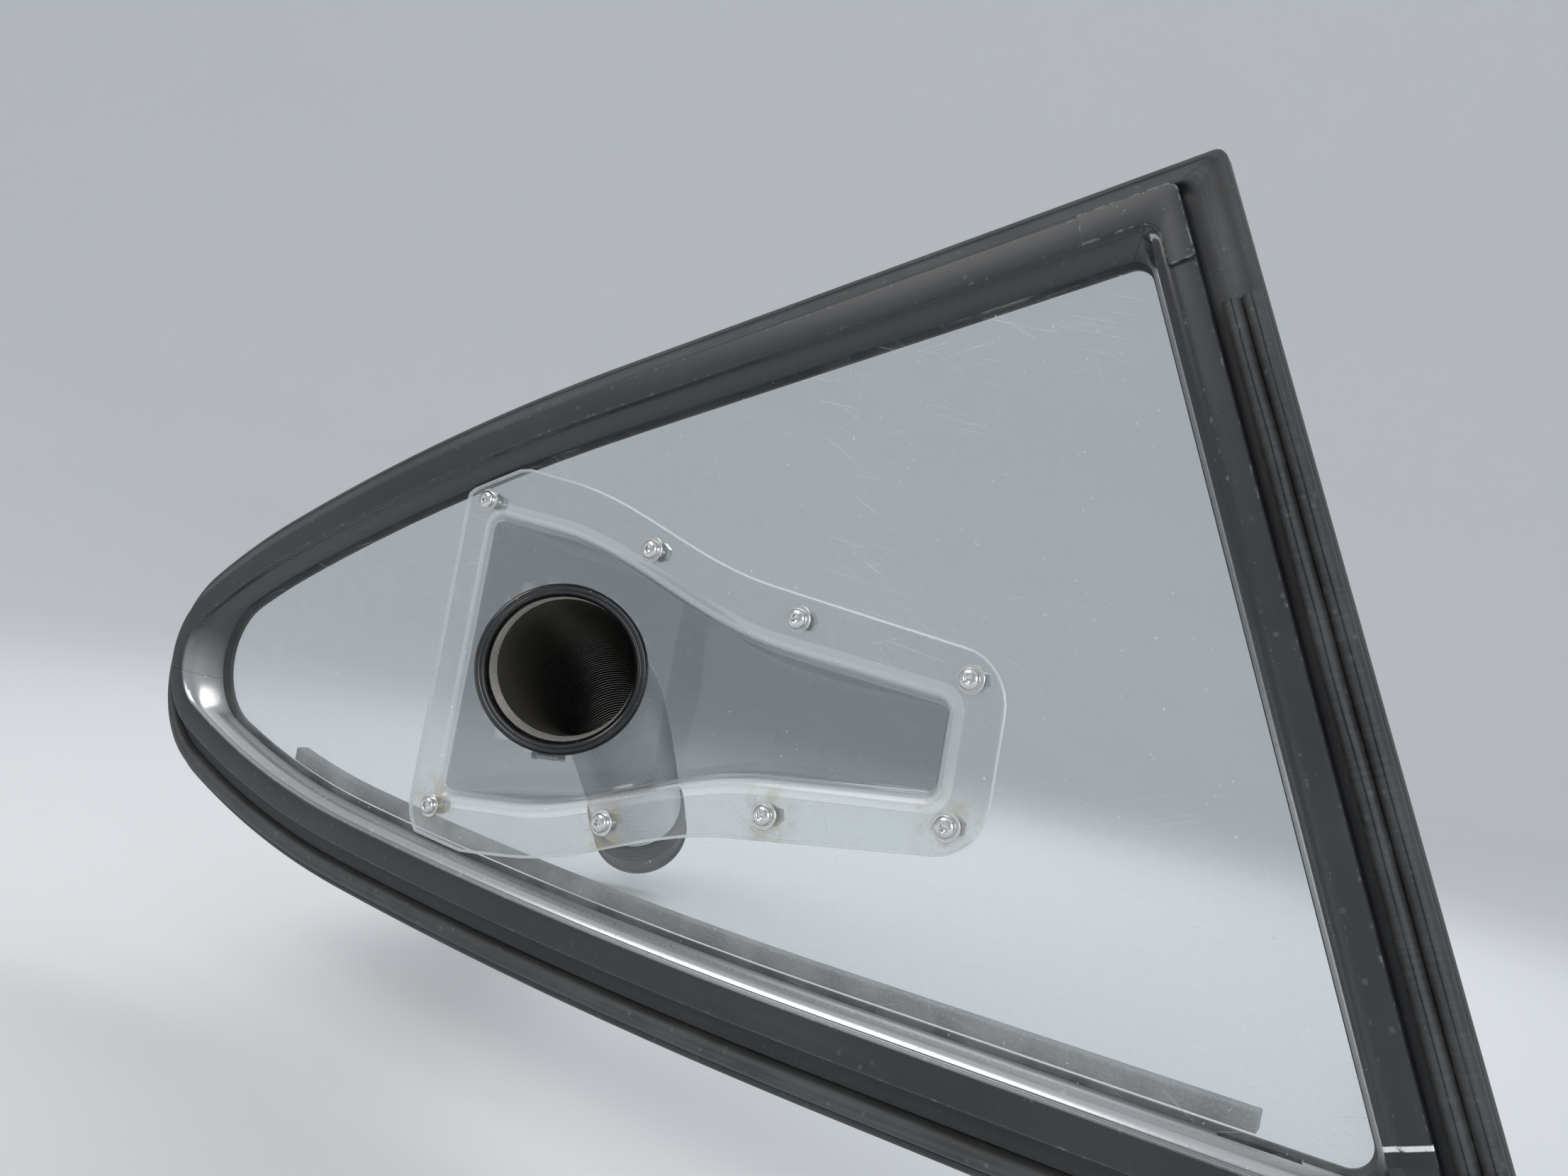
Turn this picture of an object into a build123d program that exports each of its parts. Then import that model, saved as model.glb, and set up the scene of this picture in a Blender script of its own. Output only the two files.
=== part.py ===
from build123d import *
from math import sin, cos, tan, atan2, radians, degrees, sqrt, pi
import os

# Vented rear quarter window, millimetres.
# X runs forward, Z runs up, and the outside of the vehicle is towards -Y.
# The flat back of the body gasket lies in the plane y = 0.
# Heights called h are measured outward from that plane.

os.makedirs("parts", exist_ok=True)

# Window outline, the outer edge of the body gasket
tip_x = -363.8
tip_z = 85.3
nose_radius = 67.0
haunch_radius = 440.0
roof_radius = 1434.0
keel_radius = 546.0
sill_radius = 3180.0
haunch_start = 128.5
roof_start = 119.3
roof_line_start = 109.4
keel_start = 250.7
sill_start = 265.8
sill_line_start = 271.2
front_x = 305.7
front_z = 145.0
front_lean = 0.4245

# Insets from that outline to the trim's outer edge
trim_top_inset = 11.5
trim_low_inset = 23.0
trim_tip_inset = 10.8
trim_front_inset = 18.4
# Insets to the inner edge of the trim's flat face
face_top_inset = 24.0
face_low_inset = 37.0
face_tip_inset = 21.8
face_front_inset = 32.1
# Insets to the visible edge of the pane
sight_top_inset = 32.0
sight_low_inset = 43.5
sight_tip_inset = 46.8
sight_front_inset = 35.4
# Other edges, measured from those
pane_margin = 1.2
seat_overlap = 8.0
seal_margin = 1.0
bead_share = 0.35
outer_corner = 4.0
low_outer_corner = 12.0
inner_corner = 8.0

# Heights outward from the body flange
pane_back = 2.0
pane_front = 6.0
trim_face = 16.0
bead_crown = 13.2
cap_face = 17.4
gasket_edge = 9.0
gasket_crown = 13.5

# Bulb and groove of the gasket along the bottom
bulb_outer_inset = 3.7
bulb_inner_inset = 13.7
bulb_crown = 14.2
bulb_round = 4.2
groove_floor = 9.6

# Twin ribs of the rubber strip along the front upright
rib_edge_gap = 0.8
rib_width = 6.9
rib_shoulder = 12.4
rib_crown = 15.2
strip_low_z = 14.0
strip_high_z = 316.0

# Corner cap, joint clip and inner ledge
cap_along_roof = 37.0
cap_along_front = 31.0
clip_width = 6.0
clip_thick = 0.8
joint_z = 57.2
nose_split_z = 79.3
ledge_low_inset = 45.5
ledge_height = 7.0
ledge_depth = 8.0
ledge_rear_x = -240.0
ledge_front_x = 275.0

# Scoop
scoop_x = -124.0
scoop_z = 127.5
scoop_turn = 1.3
sheet = 2.0
flange_rear = -16.0
flange_front = 291.0
flange_level = 81.1
flange_taper = 0.149
flange_swell = 18.4
flange_swell_start = 56.0
flange_swell_end = 179.0
flange_rear_corner = 22.0
flange_front_corner = 24.0
lip_rear = -1.0
lip_front = 272.0
lip_level = 52.8
lip_taper = 0.11
lip_swell = 23.7
lip_swell_start = 48.0
lip_swell_end = 189.0
lip_rear_corner = 11.0
lip_front_corner = 10.0
least_rear_corner = 3.5
least_front_corner = 3.0
cut_out_gap = 2.0
wall_foot_depth = 60.0
lip_roll = 7.0
wall_draft = 3.0
spigot_s = 42.1
spigot_h = -22.3
spigot_tilt = 38.5
ramp_front_s = 265.0
ramp_front_h = 0.0
throat_reach = 46.0

# Spigot and duct hose
spigot_inner = 36.8
spigot_outer = 38.6
rim_radius = 43.5
rim_thick = 3.0
spigot_length = 42.0
hose_inner = 38.8
hose_outer = 40.8
hose_first_run = 150.0
hose_run = 190.0
hose_mid_way = (-0.47, 0.85, -0.22)
hose_end_way = (-0.38, 0.76, -0.52)
hose_gap = 3.0
clamp_start = 14.0
clamp_width = 12.0
clamp_thick = 1.0
housing_height = 7.6
housing_length = 18.0
cuff_outer = 43.4
cuff_bore = 38.0
cuff_cover = 26.0
cuff_spout = 30.0
rim_round = 1.2

# Fasteners: places along and across the scoop, rear to front
screw_1_s = 0.0
screw_1_w = 78.0
screw_2_s = 110.0
screw_2_w = 63.0
screw_3_s = 194.0
screw_3_w = 41.5
screw_4_s = 275.0
screw_4_w = 28.5
shank_radius = 2.5
hole_radius = 2.75
head_radius = 4.5
head_height = 2.7
head_round = 2.0
socket_radius = 1.75
socket_floor = 0.9
thread_tail = 1.5
washer_radius = 6.0
washer_thick = 1.0
nut_across = 8.0
nut_height = 4.0


def spoke(angle):
    return Vector(cos(radians(angle)), sin(radians(angle)), 0)


nose_centre = Vector(tip_x + nose_radius, tip_z, 0)
haunch_centre = nose_centre + spoke(haunch_start) * (nose_radius - haunch_radius)
roof_centre = haunch_centre + spoke(roof_start) * (haunch_radius - roof_radius)
keel_centre = nose_centre + spoke(keel_start) * (nose_radius - keel_radius)
sill_centre = keel_centre + spoke(sill_start) * (keel_radius - sill_radius)


def meet(p, along_p, q, along_q):
    """Point where two straight lines cross."""
    det = along_p.X * (-along_q.Y) + along_q.X * along_p.Y
    dx = q.X - p.X
    dy = q.Y - p.Y
    t = (dx * (-along_q.Y) + along_q.X * dy) / det
    return p + along_p * t


def nose_circle(top, low, tip):
    """Circle touching the tip line, the inset haunch and the inset keel."""
    upper = haunch_radius - top
    lower = keel_radius - low
    small, large = 1.0, 150.0
    for _ in range(60):
        r = (small + large) / 2
        z_up = haunch_centre.Y + sqrt(max((upper - r) ** 2 - (tip + r - haunch_centre.X) ** 2, 0))
        z_low = keel_centre.Y - sqrt(max((lower - r) ** 2 - (tip + r - keel_centre.X) ** 2, 0))
        if z_up > z_low:
            small = r
        else:
            large = r
    return r, Vector(tip + r, (z_up + z_low) / 2, 0)


lean_way = Vector(-front_lean, 1, 0).normalized()
inward = Vector(-lean_way.Y, lean_way.X, 0)
roof_way = spoke(roof_line_start - 90)
sill_way = spoke(sill_line_start + 90)


def roof_end(top):
    return roof_centre + spoke(roof_line_start) * (roof_radius - top)


def sill_end(low):
    return sill_centre + spoke(sill_line_start) * (sill_radius - low)


def front_spot(front):
    return Vector(front_x, front_z, 0) + inward * front


def outline(top, low, tip, front, top_corner=inner_corner, low_corner=inner_corner):
    """Window outline moved inward by four insets, as a flat sketch."""
    tip = tip_x + tip
    r, centre = nose_circle(top, low, tip)
    up_start = haunch_centre + (centre - haunch_centre).normalized() * (haunch_radius - top)
    low_start = keel_centre + (centre - keel_centre).normalized() * (keel_radius - low)
    up_angle = degrees(atan2(up_start.Y - haunch_centre.Y, up_start.X - haunch_centre.X))
    low_angle = degrees(atan2(low_start.Y - keel_centre.Y, low_start.X - keel_centre.X)) % 360
    roof_a = haunch_centre + spoke(roof_start) * (haunch_radius - top)
    sill_a = keel_centre + spoke(sill_start) * (keel_radius - low)
    haunch_mid = haunch_centre + spoke((up_angle + roof_start) / 2) * (haunch_radius - top)
    roof_mid = roof_centre + spoke((roof_start + roof_line_start) / 2) * (roof_radius - top)
    keel_mid = keel_centre + spoke((low_angle + sill_start) / 2) * (keel_radius - low)
    sill_mid = sill_centre + spoke((sill_start + sill_line_start) / 2) * (sill_radius - low)
    top_front = meet(roof_end(top), roof_way, front_spot(front), lean_way)
    low_front = meet(sill_end(low), sill_way, front_spot(front), lean_way)
    edges = [
        ThreePointArc(up_start, Vector(tip, centre.Y, 0), low_start),
        ThreePointArc(up_start, haunch_mid, roof_a),
        ThreePointArc(roof_a, roof_mid, roof_end(top)),
        Line(roof_end(top), top_front),
        Line(top_front, low_front),
        Line(low_front, sill_end(low)),
        ThreePointArc(sill_end(low), sill_mid, sill_a),
        ThreePointArc(sill_a, keel_mid, low_start),
    ]
    flat = make_face(edges)
    flat = fillet(flat.vertices().sort_by_distance(top_front)[0], top_corner)
    return fillet(flat.vertices().sort_by_distance(low_front)[0], low_corner)


def prism(flat, low, high):
    return extrude(Plane.XZ.offset(low) * flat, high - low)


def slope(flat_a, low, flat_b, high):
    return loft([Plane.XZ.offset(low) * flat_a, Plane.XZ.offset(high) * flat_b], ruled=True)


def block(x0, x1, z0, z1, h0, h1):
    return Pos((x0 + x1) / 2, -(h0 + h1) / 2, (z0 + z1) / 2) * Box(x1 - x0, h1 - h0, z1 - z0)


made = []


def save(name, shape):
    solids = shape.solids()
    body = solids[0] if len(solids) == 1 else Compound(children=list(solids))
    body.label = name
    export_step(body, "parts/" + name + ".step")
    made.append(name)
    print(name, "solids", len(solids), "volume", round(sum(s.volume for s in solids), 1))


gasket_flat = outline(0, 0, 0, 0, outer_corner, low_outer_corner)
trim_flat = outline(trim_top_inset, trim_low_inset, trim_tip_inset, trim_front_inset, outer_corner)
face_flat = outline(face_top_inset, face_low_inset, face_tip_inset, face_front_inset)
sight_flat = outline(sight_top_inset, sight_low_inset, sight_tip_inset, sight_front_inset)


def between(a, b, share):
    return a + (b - a) * share


bead_flat = outline(
    between(face_top_inset, sight_top_inset, bead_share),
    between(face_low_inset, sight_low_inset, bead_share),
    between(face_tip_inset, sight_tip_inset, bead_share),
    between(face_front_inset, sight_front_inset, bead_share),
)
pane_flat = outline(
    trim_top_inset + pane_margin,
    trim_low_inset + pane_margin,
    trim_tip_inset + pane_margin,
    trim_front_inset + pane_margin,
    outer_corner,
)
base_flat = outline(
    trim_top_inset + seat_overlap,
    trim_low_inset + seat_overlap,
    trim_tip_inset + seat_overlap,
    trim_front_inset + seat_overlap,
)
clear_flat = outline(
    sight_top_inset + seal_margin,
    sight_low_inset + seal_margin,
    sight_tip_inset + seal_margin,
    sight_front_inset + seal_margin,
)


def zone(points):
    """Upright column over a polygon, used to divide the frame."""
    corners = [(p.X, p.Y) for p in points + points[:1]]
    return extrude(Plane.XZ.offset(-20) * make_face(Polyline(*corners)), 60)


# Lengths of the frame: split at the nose, at the lower joint and at the top mitre
foot = front_spot(0) + lean_way * ((joint_z - front_z) / lean_way.Y)
outer_foot = foot - inward * seat_overlap * 4
inner_foot = foot + inward * sight_front_inset * 1.4
outer_top = meet(roof_end(trim_top_inset), roof_way, front_spot(trim_front_inset), lean_way)
inner_top = meet(roof_end(face_top_inset), roof_way, front_spot(face_front_inset), lean_way)
mitre = (outer_top - inner_top).normalized()
mitre_high = inner_top + mitre * sight_low_inset * 2
mitre_low = inner_top - mitre * sight_top_inset
ahead = Vector(front_x + front_z, 0, 0)
upright_zone = zone([
    outer_foot,
    Vector(ahead.X, outer_foot.Y, 0),
    Vector(ahead.X, mitre_high.Y, 0),
    mitre_high,
    mitre_low,
    inner_foot,
])
behind = Vector(tip_x - nose_radius, nose_split_z, 0)
lower_zone = zone([
    behind,
    Vector(nose_centre.X, nose_split_z, 0),
    inner_foot,
    outer_foot,
    Vector(ahead.X, outer_foot.Y, 0),
    Vector(ahead.X, -front_z, 0),
    Vector(behind.X, -front_z, 0),
])

# Body gasket: sloping face, flat back, bulb and groove along the bottom
gasket = prism(gasket_flat, 0, gasket_edge) + slope(gasket_flat, gasket_edge, trim_flat, gasket_crown)


def bulb_ring(shift):
    """Outer and inner outline of the bulb, both moved towards its crown by shift."""
    outer_inset = bulb_outer_inset + shift
    inner_inset = bulb_inner_inset - shift
    return (
        outline(trim_top_inset, outer_inset, outer_inset, trim_front_inset, outer_corner),
        outline(trim_top_inset, inner_inset, trim_tip_inset, trim_front_inset, outer_corner),
    )


bulb_end = nose_centre + spoke(keel_start) * nose_radius
bulb_zone = zone([
    Vector(bulb_end.X, bulb_end.Y + nose_radius, 0),
    Vector(nose_centre.X + nose_radius, nose_centre.Y, 0),
    Vector(foot.X, foot.Y, 0),
    Vector(foot.X, -front_z, 0),
    Vector(bulb_end.X, -front_z, 0),
])
bulb_side = bulb_crown - bulb_round
outer, inner = bulb_ring(0)
gasket -= prism(outer, groove_floor, bulb_crown * 2) & bulb_zone
bulb = prism(outer, pane_front, bulb_side) - prism(inner, pane_front, bulb_side)
for start, end in ((0, 45), (45, 90)):
    low = bulb_side + bulb_round * sin(radians(start))
    high = bulb_side + bulb_round * sin(radians(end))
    outer_low, inner_low = bulb_ring(bulb_round * (1 - cos(radians(start))))
    outer_high, inner_high = bulb_ring(bulb_round * (1 - cos(radians(end))))
    bulb += slope(outer_low, low, outer_high, high) - slope(inner_low, low, inner_high, high)
gasket += bulb & bulb_zone
gasket -= prism(trim_flat, pane_back, bulb_crown * 2)
gasket -= prism(base_flat, -1, pane_back + 1)

# Seat for the twin-rib strip
strip_length = (strip_high_z - strip_low_z) / lean_way.Y
strip_start = front_spot(0) + lean_way * ((strip_low_z - front_z) / lean_way.Y)
strip_plane = Plane(
    origin=(strip_start.X, 0, strip_start.Y),
    x_dir=(inward.X, 0, inward.Y),
    z_dir=(lean_way.X, 0, lean_way.Y),
)
above_strip = 40.0
strip_inner = trim_front_inset + pane_back
clearing = Polyline(
    (-rib_width, gasket_edge),
    (strip_inner, gasket_edge),
    (strip_inner, above_strip),
    (-rib_width, above_strip),
    (-rib_width, gasket_edge),
)
gasket -= extrude(strip_plane * make_face(clearing), strip_length)
save("body_gasket", gasket)


def rib_face(start):
    end = start + rib_width
    middle = (start + end) / 2
    return make_face([
        Line((start, gasket_edge), (end, gasket_edge)),
        Line((end, gasket_edge), (end, rib_shoulder)),
        ThreePointArc((end, rib_shoulder), (middle, rib_crown), (start, rib_shoulder)),
        Line((start, rib_shoulder), (start, gasket_edge)),
    ])


ribs = rib_face(rib_edge_gap) + rib_face(rib_edge_gap + rib_width)
save("upright_strip", extrude(strip_plane * ribs, strip_length))

# Bedding seal behind the pane
save("glazing_seal", prism(base_flat, 0, pane_back) - prism(clear_flat, -1, 5))

# Trim frame with an inner side that rounds down to the pane
frame = prism(trim_flat, pane_front, trim_face)
frame -= slope(bead_flat, bead_crown, face_flat, trim_face)
frame -= slope(sight_flat, pane_front, bead_flat, bead_crown)
rest = frame - upright_zone
save("trim_upper", rest - lower_zone)
save("trim_lower", rest & lower_zone)
save("trim_upright", frame & upright_zone)

# Corner cap over the mitre
flat_ring = trim_flat - face_flat
roof_stop = outer_top - roof_way * cap_along_roof
front_stop = outer_top - lean_way * cap_along_front
cap_reach = sight_top_inset
cap_zone = zone([
    roof_stop + Vector(-roof_way.Y, roof_way.X, 0) * cap_reach,
    roof_stop - Vector(-roof_way.Y, roof_way.X, 0) * cap_reach * 0.6,
    front_stop + inward * cap_reach * 0.8,
    front_stop - inward * cap_reach,
    outer_top + mitre * cap_reach * 2,
])
save("corner_cap", prism(flat_ring, trim_face, cap_face) & cap_zone)

# Thin metal clip over the lower joint
half = lean_way * clip_width / 2
clip_zone = zone([outer_foot - half, inner_foot - half, inner_foot + half, outer_foot + half])
save("joint_clip", prism(flat_ring, trim_face, trim_face + clip_thick) & clip_zone)

# Scoop in its own frame: s forward, w across, h outward
turn = radians(scoop_turn)
s_axis = Vector(cos(turn), 0, sin(turn))
w_axis = Vector(-sin(turn), 0, cos(turn))
out_axis = Vector(0, -1, 0)
scoop_origin = Vector(scoop_x, 0, scoop_z)


def scoop_plane(h):
    return Plane(origin=scoop_origin + out_axis * h, x_dir=s_axis, z_dir=out_axis)


side_plane = Plane(origin=scoop_origin, x_dir=s_axis, z_dir=w_axis * -1)


def ease(s, start, end):
    t = min(max((s - start) / (end - start), 0.0), 1.0)
    return 0.5 * (1 + cos(pi * t))


def flask(level, taper, swell, start, end, rear, front, rear_corner, front_corner, inset=0.0):
    """Flask-shaped outline: wide at the rear, easing to a narrow front."""
    level = level - inset
    rear = rear + inset
    front = front - inset
    lean = sqrt(1 + taper * taper)
    rear_level = level + swell
    rc = Vector(rear + rear_corner, rear_level - taper * (rear + rear_corner) - rear_corner * lean, 0)
    fc = Vector(front - front_corner, level - taper * (front - front_corner) - front_corner * lean, 0)
    out = Vector(taper, 1, 0).normalized()
    a0 = Vector(rear, rc.Y, 0)
    am = rc + (Vector(-1, 0, 0) + out).normalized() * rear_corner
    a1 = rc + out * rear_corner
    b0 = Vector(start, rear_level - taper * start, 0)
    b1 = Vector(end, level - taper * end, 0)
    c0 = fc + out * front_corner
    cm = fc + (Vector(1, 0, 0) + out).normalized() * front_corner
    c1 = Vector(front, fc.Y, 0)
    mids = []
    for k in (1, 2, 3, 4, 5):
        s = start + (end - start) * k / 6
        mids.append(Vector(s, level - taper * s + swell * ease(s, start, end), 0))
    way = Vector(1, -taper, 0)

    def low(v):
        return Vector(v.X, -v.Y, 0)

    low_way = Vector(1, taper, 0)
    edges = [
        Line(low(a0), a0),
        ThreePointArc(a0, am, a1),
        Line(a1, b0),
        Spline([b0] + mids + [b1], tangents=[way, way]),
        Line(b1, c0),
        ThreePointArc(c0, cm, c1),
        Line(c1, low(c1)),
        ThreePointArc(low(c1), low(cm), low(c0)),
        Line(low(c0), low(b1)),
        Spline([low(b0)] + [low(m) for m in mids] + [low(b1)], tangents=[low_way, low_way]),
        Line(low(b0), low(a1)),
        ThreePointArc(low(a1), low(am), low(a0)),
    ]
    return make_face(edges)


def flange_outline(inset=0.0):
    return flask(
        flange_level,
        flange_taper,
        flange_swell,
        flange_swell_start,
        flange_swell_end,
        flange_rear,
        flange_front,
        flange_rear_corner,
        flange_front_corner,
        inset,
    )


def lip_outline(inset=0.0):
    return flask(
        lip_level,
        lip_taper,
        lip_swell,
        lip_swell_start,
        lip_swell_end,
        lip_rear,
        lip_front,
        max(lip_rear_corner - inset, least_rear_corner),
        max(lip_front_corner - inset, least_front_corner),
        inset,
    )


def bowl(grow, floor_h):
    """Hollow of the scoop, or its outside when grow is the sheet thickness."""
    steps = []
    for a in (0, 30, 60, 90):
        inset = (lip_roll - grow) * sin(radians(a))
        h = pane_front + sheet - grow - (lip_roll - grow) * (1 - cos(radians(a)))
        steps.append(scoop_plane(h) * lip_outline(inset))
    steps.append(scoop_plane(floor_h) * lip_outline(lip_roll - grow + wall_draft))
    return loft(steps, ruled=True)


plate_way = Vector(cos(radians(spigot_tilt)), -sin(radians(spigot_tilt)), 0)
plate_out = Vector(sin(radians(spigot_tilt)), cos(radians(spigot_tilt)), 0)
plate_mid = Vector(spigot_s, spigot_h, 0)
throat = plate_mid + plate_way * throat_reach
ramp_top = Vector(ramp_front_s, ramp_front_h, 0)
ramp_way = (ramp_top - throat).normalized()
ramp_out = Vector(-ramp_way.Y, ramp_way.X, 0)


def above_floor(drop):
    """Everything outside the tilted plate and the ramp, moved inward by drop."""
    corner = meet(plate_mid - plate_out * drop, plate_way, ramp_top - ramp_out * drop, ramp_way)
    rear_end = corner - plate_way * 180
    front_end = corner + ramp_way * 360
    points = [corner, front_end, Vector(front_end.X, 140, 0), Vector(rear_end.X, 140, 0), rear_end]
    flat = make_face(Polyline(*[(p.X, p.Y) for p in points], (corner.X, corner.Y)))
    return extrude(side_plane * flat, 130, both=True)


scoop_sheet = extrude(scoop_plane(pane_front) * flange_outline(), sheet)
scoop_sheet &= prism(clear_flat, 0, 20)
scoop_shell = bowl(sheet, -wall_foot_depth - sheet) & above_floor(sheet)
hollow = bowl(0.0, -wall_foot_depth) & above_floor(0.0)
scoop = scoop_sheet + scoop_shell - hollow

spigot_point = scoop_origin + s_axis * plate_mid.X + out_axis * plate_mid.Y
spigot_out = (s_axis * plate_out.X + out_axis * plate_out.Y).normalized()
spigot_plane = Plane(origin=spigot_point, x_dir=w_axis, z_dir=spigot_out)


def tube(plane, low, high, outer, inner):
    ring = Circle(outer) - Circle(inner)
    return extrude(plane.offset(low) * ring, high - low)


scoop -= extrude(spigot_plane.offset(-30) * Circle(spigot_outer), 60)


def screw_marks():
    places = [(screw_1_s, screw_1_w), (screw_2_s, screw_2_w), (screw_3_s, screw_3_w), (screw_4_s, screw_4_w)]
    return [(s, w * side) for side in (1, -1) for s, w in places]


for s, w in screw_marks():
    scoop -= extrude(scoop_plane(0) * Pos(s, w) * Circle(hole_radius), 20)
save("scoop_moulding", scoop)

# Pane with the cut-out behind the scoop
pane = prism(pane_flat, pane_back, pane_front)
pane -= extrude(scoop_plane(-5) * lip_outline(-cut_out_gap), 30)
for s, w in screw_marks():
    pane -= extrude(scoop_plane(-5) * Pos(s, w) * Circle(hole_radius), 30)
save("pane", pane)

# Spigot with its rolled rim
rim = tube(spigot_plane, 0, rim_thick, rim_radius, spigot_inner)
rim = fillet(rim.edges().filter_by(GeomType.CIRCLE).group_by(Axis(spigot_point, spigot_out))[-1], rim_round)
spigot = rim + tube(spigot_plane, -spigot_length, 0, spigot_outer, spigot_inner)
save("spigot_ring", spigot)

# Hose on the spigot, then two gentle turns inward and down
hose_way = spigot_out * -1
mid_way = Vector(*hose_mid_way).normalized()
end_way = Vector(*hose_end_way).normalized()
hose_start = spigot_point + hose_way * (sheet + hose_gap)
hose_knee = hose_start + hose_way * hose_first_run
hose_elbow = hose_knee + mid_way * hose_run
hose_tail = hose_elbow + end_way * hose_run


def turn_radius(way_a, way_b, shorter_run):
    return 0.45 * shorter_run / tan(radians(way_a.get_angle(way_b) / 2))


radii = [
    turn_radius(hose_way, mid_way, min(hose_first_run, hose_run)),
    turn_radius(mid_way, end_way, hose_run),
]
path = FilletPolyline(hose_start, hose_knee, hose_elbow, hose_tail, radius=radii)
start_plane = Plane(origin=hose_start, z_dir=hose_way)
hose = sweep(start_plane * (Circle(hose_outer) - Circle(hose_inner)), path=path)
save("duct_hose", hose)
print("hose length", round(path.length, 1), "bend radii", [round(r, 1) for r in radii])
print("hose points", hose_start, hose_knee, hose_elbow, hose_tail, "end way", end_way)

# Worm-drive clamp round the hose where it covers the spigot
clamp_plane = Plane(origin=hose_start, x_dir=w_axis, z_dir=hose_way)
clamp_end = clamp_start + clamp_width
clamp_middle = clamp_start + clamp_width / 2
band = tube(clamp_plane, clamp_start, clamp_end, hose_outer + clamp_thick, hose_outer)
housing_place = Pos(-hose_outer - clamp_thick / 2 - housing_height / 2, 0, clamp_middle)
housing = clamp_plane * housing_place * Box(housing_height, housing_length, clamp_width)
housing -= extrude(clamp_plane * Circle(hose_outer + clamp_thick / 2), clamp_end + clamp_width)
save("hose_clamp", band + housing)

# End cuff that takes the next duct
tail_plane = Plane(origin=hose_tail, z_dir=end_way)
cuff = tube(tail_plane, -cuff_cover, 0, cuff_outer, hose_outer)
cuff += tube(tail_plane, 0, cuff_spout, cuff_outer, cuff_bore)
save("hose_end_cuff", cuff)
outlet = hose_tail + end_way * (cuff_spout / 2)
print("outlet", outlet, "axis", end_way)

# Grained ledge that shows behind the pane along the bottom
ledge_ring = (sight_top_inset * 2, sight_tip_inset + ledge_height * 2, sight_front_inset + seal_margin * 4)
ledge_low = outline(ledge_ring[0], ledge_low_inset, *ledge_ring[1:])
ledge_high = outline(ledge_ring[0], ledge_low_inset + ledge_height, *ledge_ring[1:])
ledge = prism(ledge_low - ledge_high, pane_back - ledge_depth, pane_back)
ledge &= block(ledge_rear_x, ledge_front_x, -sight_low_inset, sight_low_inset * 2, -20, 10)
save("inner_ledge", ledge.solids().sort_by(SortBy.VOLUME)[-1])


def spot(s, w, h):
    return Plane(origin=scoop_origin + s_axis * s + w_axis * w + out_axis * h, x_dir=s_axis, z_dir=out_axis)


# Fasteners
for k, (s, w) in enumerate(screw_marks(), start=1):
    washer = tube(spot(s, w, pane_front + sheet), 0, washer_thick, washer_radius, hole_radius)
    under_head = pane_front + sheet + washer_thick
    top = spot(s, w, under_head)
    head = extrude(top * Circle(head_radius), head_height)
    head = fillet(head.edges().group_by(Axis(top.origin, out_axis))[-1], head_round)
    head -= extrude(top.offset(socket_floor) * RegularPolygon(socket_radius, 6), head_height)
    shank = extrude(top * Circle(shank_radius), -(under_head - pane_back + nut_height + thread_tail))
    nut = extrude(spot(s, w, pane_back) * RegularPolygon(nut_across / 2, 6, major_radius=False), -nut_height)
    nut -= extrude(spot(s, w, pane_back + 1) * Circle(shank_radius), -(nut_height + 3))
    save("screw_%d" % k, head + shank)
    save("washer_%d" % k, washer)
    save("nut_%d" % k, nut)

print(len(made), "pieces")
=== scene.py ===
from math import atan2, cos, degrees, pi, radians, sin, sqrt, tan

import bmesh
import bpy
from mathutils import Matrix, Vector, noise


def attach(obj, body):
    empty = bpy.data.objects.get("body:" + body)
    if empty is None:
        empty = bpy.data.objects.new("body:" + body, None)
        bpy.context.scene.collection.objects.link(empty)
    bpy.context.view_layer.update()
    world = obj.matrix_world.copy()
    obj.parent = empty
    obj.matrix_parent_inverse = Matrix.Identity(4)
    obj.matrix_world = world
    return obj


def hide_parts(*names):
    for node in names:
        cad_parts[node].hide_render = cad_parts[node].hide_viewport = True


bl_info = {
    "name": "Vented quarter window",
    "version": (1, 0, 0),
    "blender": (4, 5, 0),
    "location": "3D View > Sidebar > Quarter window",
    "description": "Builds a clear quarter window with its trim, rubber, air scoop and duct hose",
    "category": "Object",
}

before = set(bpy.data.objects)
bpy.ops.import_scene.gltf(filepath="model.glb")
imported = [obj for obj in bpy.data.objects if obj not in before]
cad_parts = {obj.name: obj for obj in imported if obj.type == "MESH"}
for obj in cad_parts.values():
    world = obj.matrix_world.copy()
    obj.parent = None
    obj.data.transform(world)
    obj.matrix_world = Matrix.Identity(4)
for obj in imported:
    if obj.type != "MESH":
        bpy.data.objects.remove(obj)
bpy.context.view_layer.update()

# One millimetre in metres. Shapes are worked out in millimetres and placed in metres.
MM = 0.001


def length(name, description, millimetres):
    return bpy.props.FloatProperty(
        name=name, description=description, default=millimetres * MM, unit="LENGTH", precision=4
    )


def turn(name, description, angle):
    return bpy.props.FloatProperty(
        name=name, description=description, default=radians(angle), subtype="ANGLE", unit="ROTATION"
    )


def share(name, description, value):
    return bpy.props.FloatProperty(name=name, description=description, default=value)


def colour(name, description, value):
    return bpy.props.FloatVectorProperty(
        name=name, description=description, default=value, subtype="COLOR", size=3, min=0.0, max=1.0
    )


def way(name, description, value):
    return bpy.props.FloatVectorProperty(
        name=name, description=description, default=value, subtype="DIRECTION", size=3
    )


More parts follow.
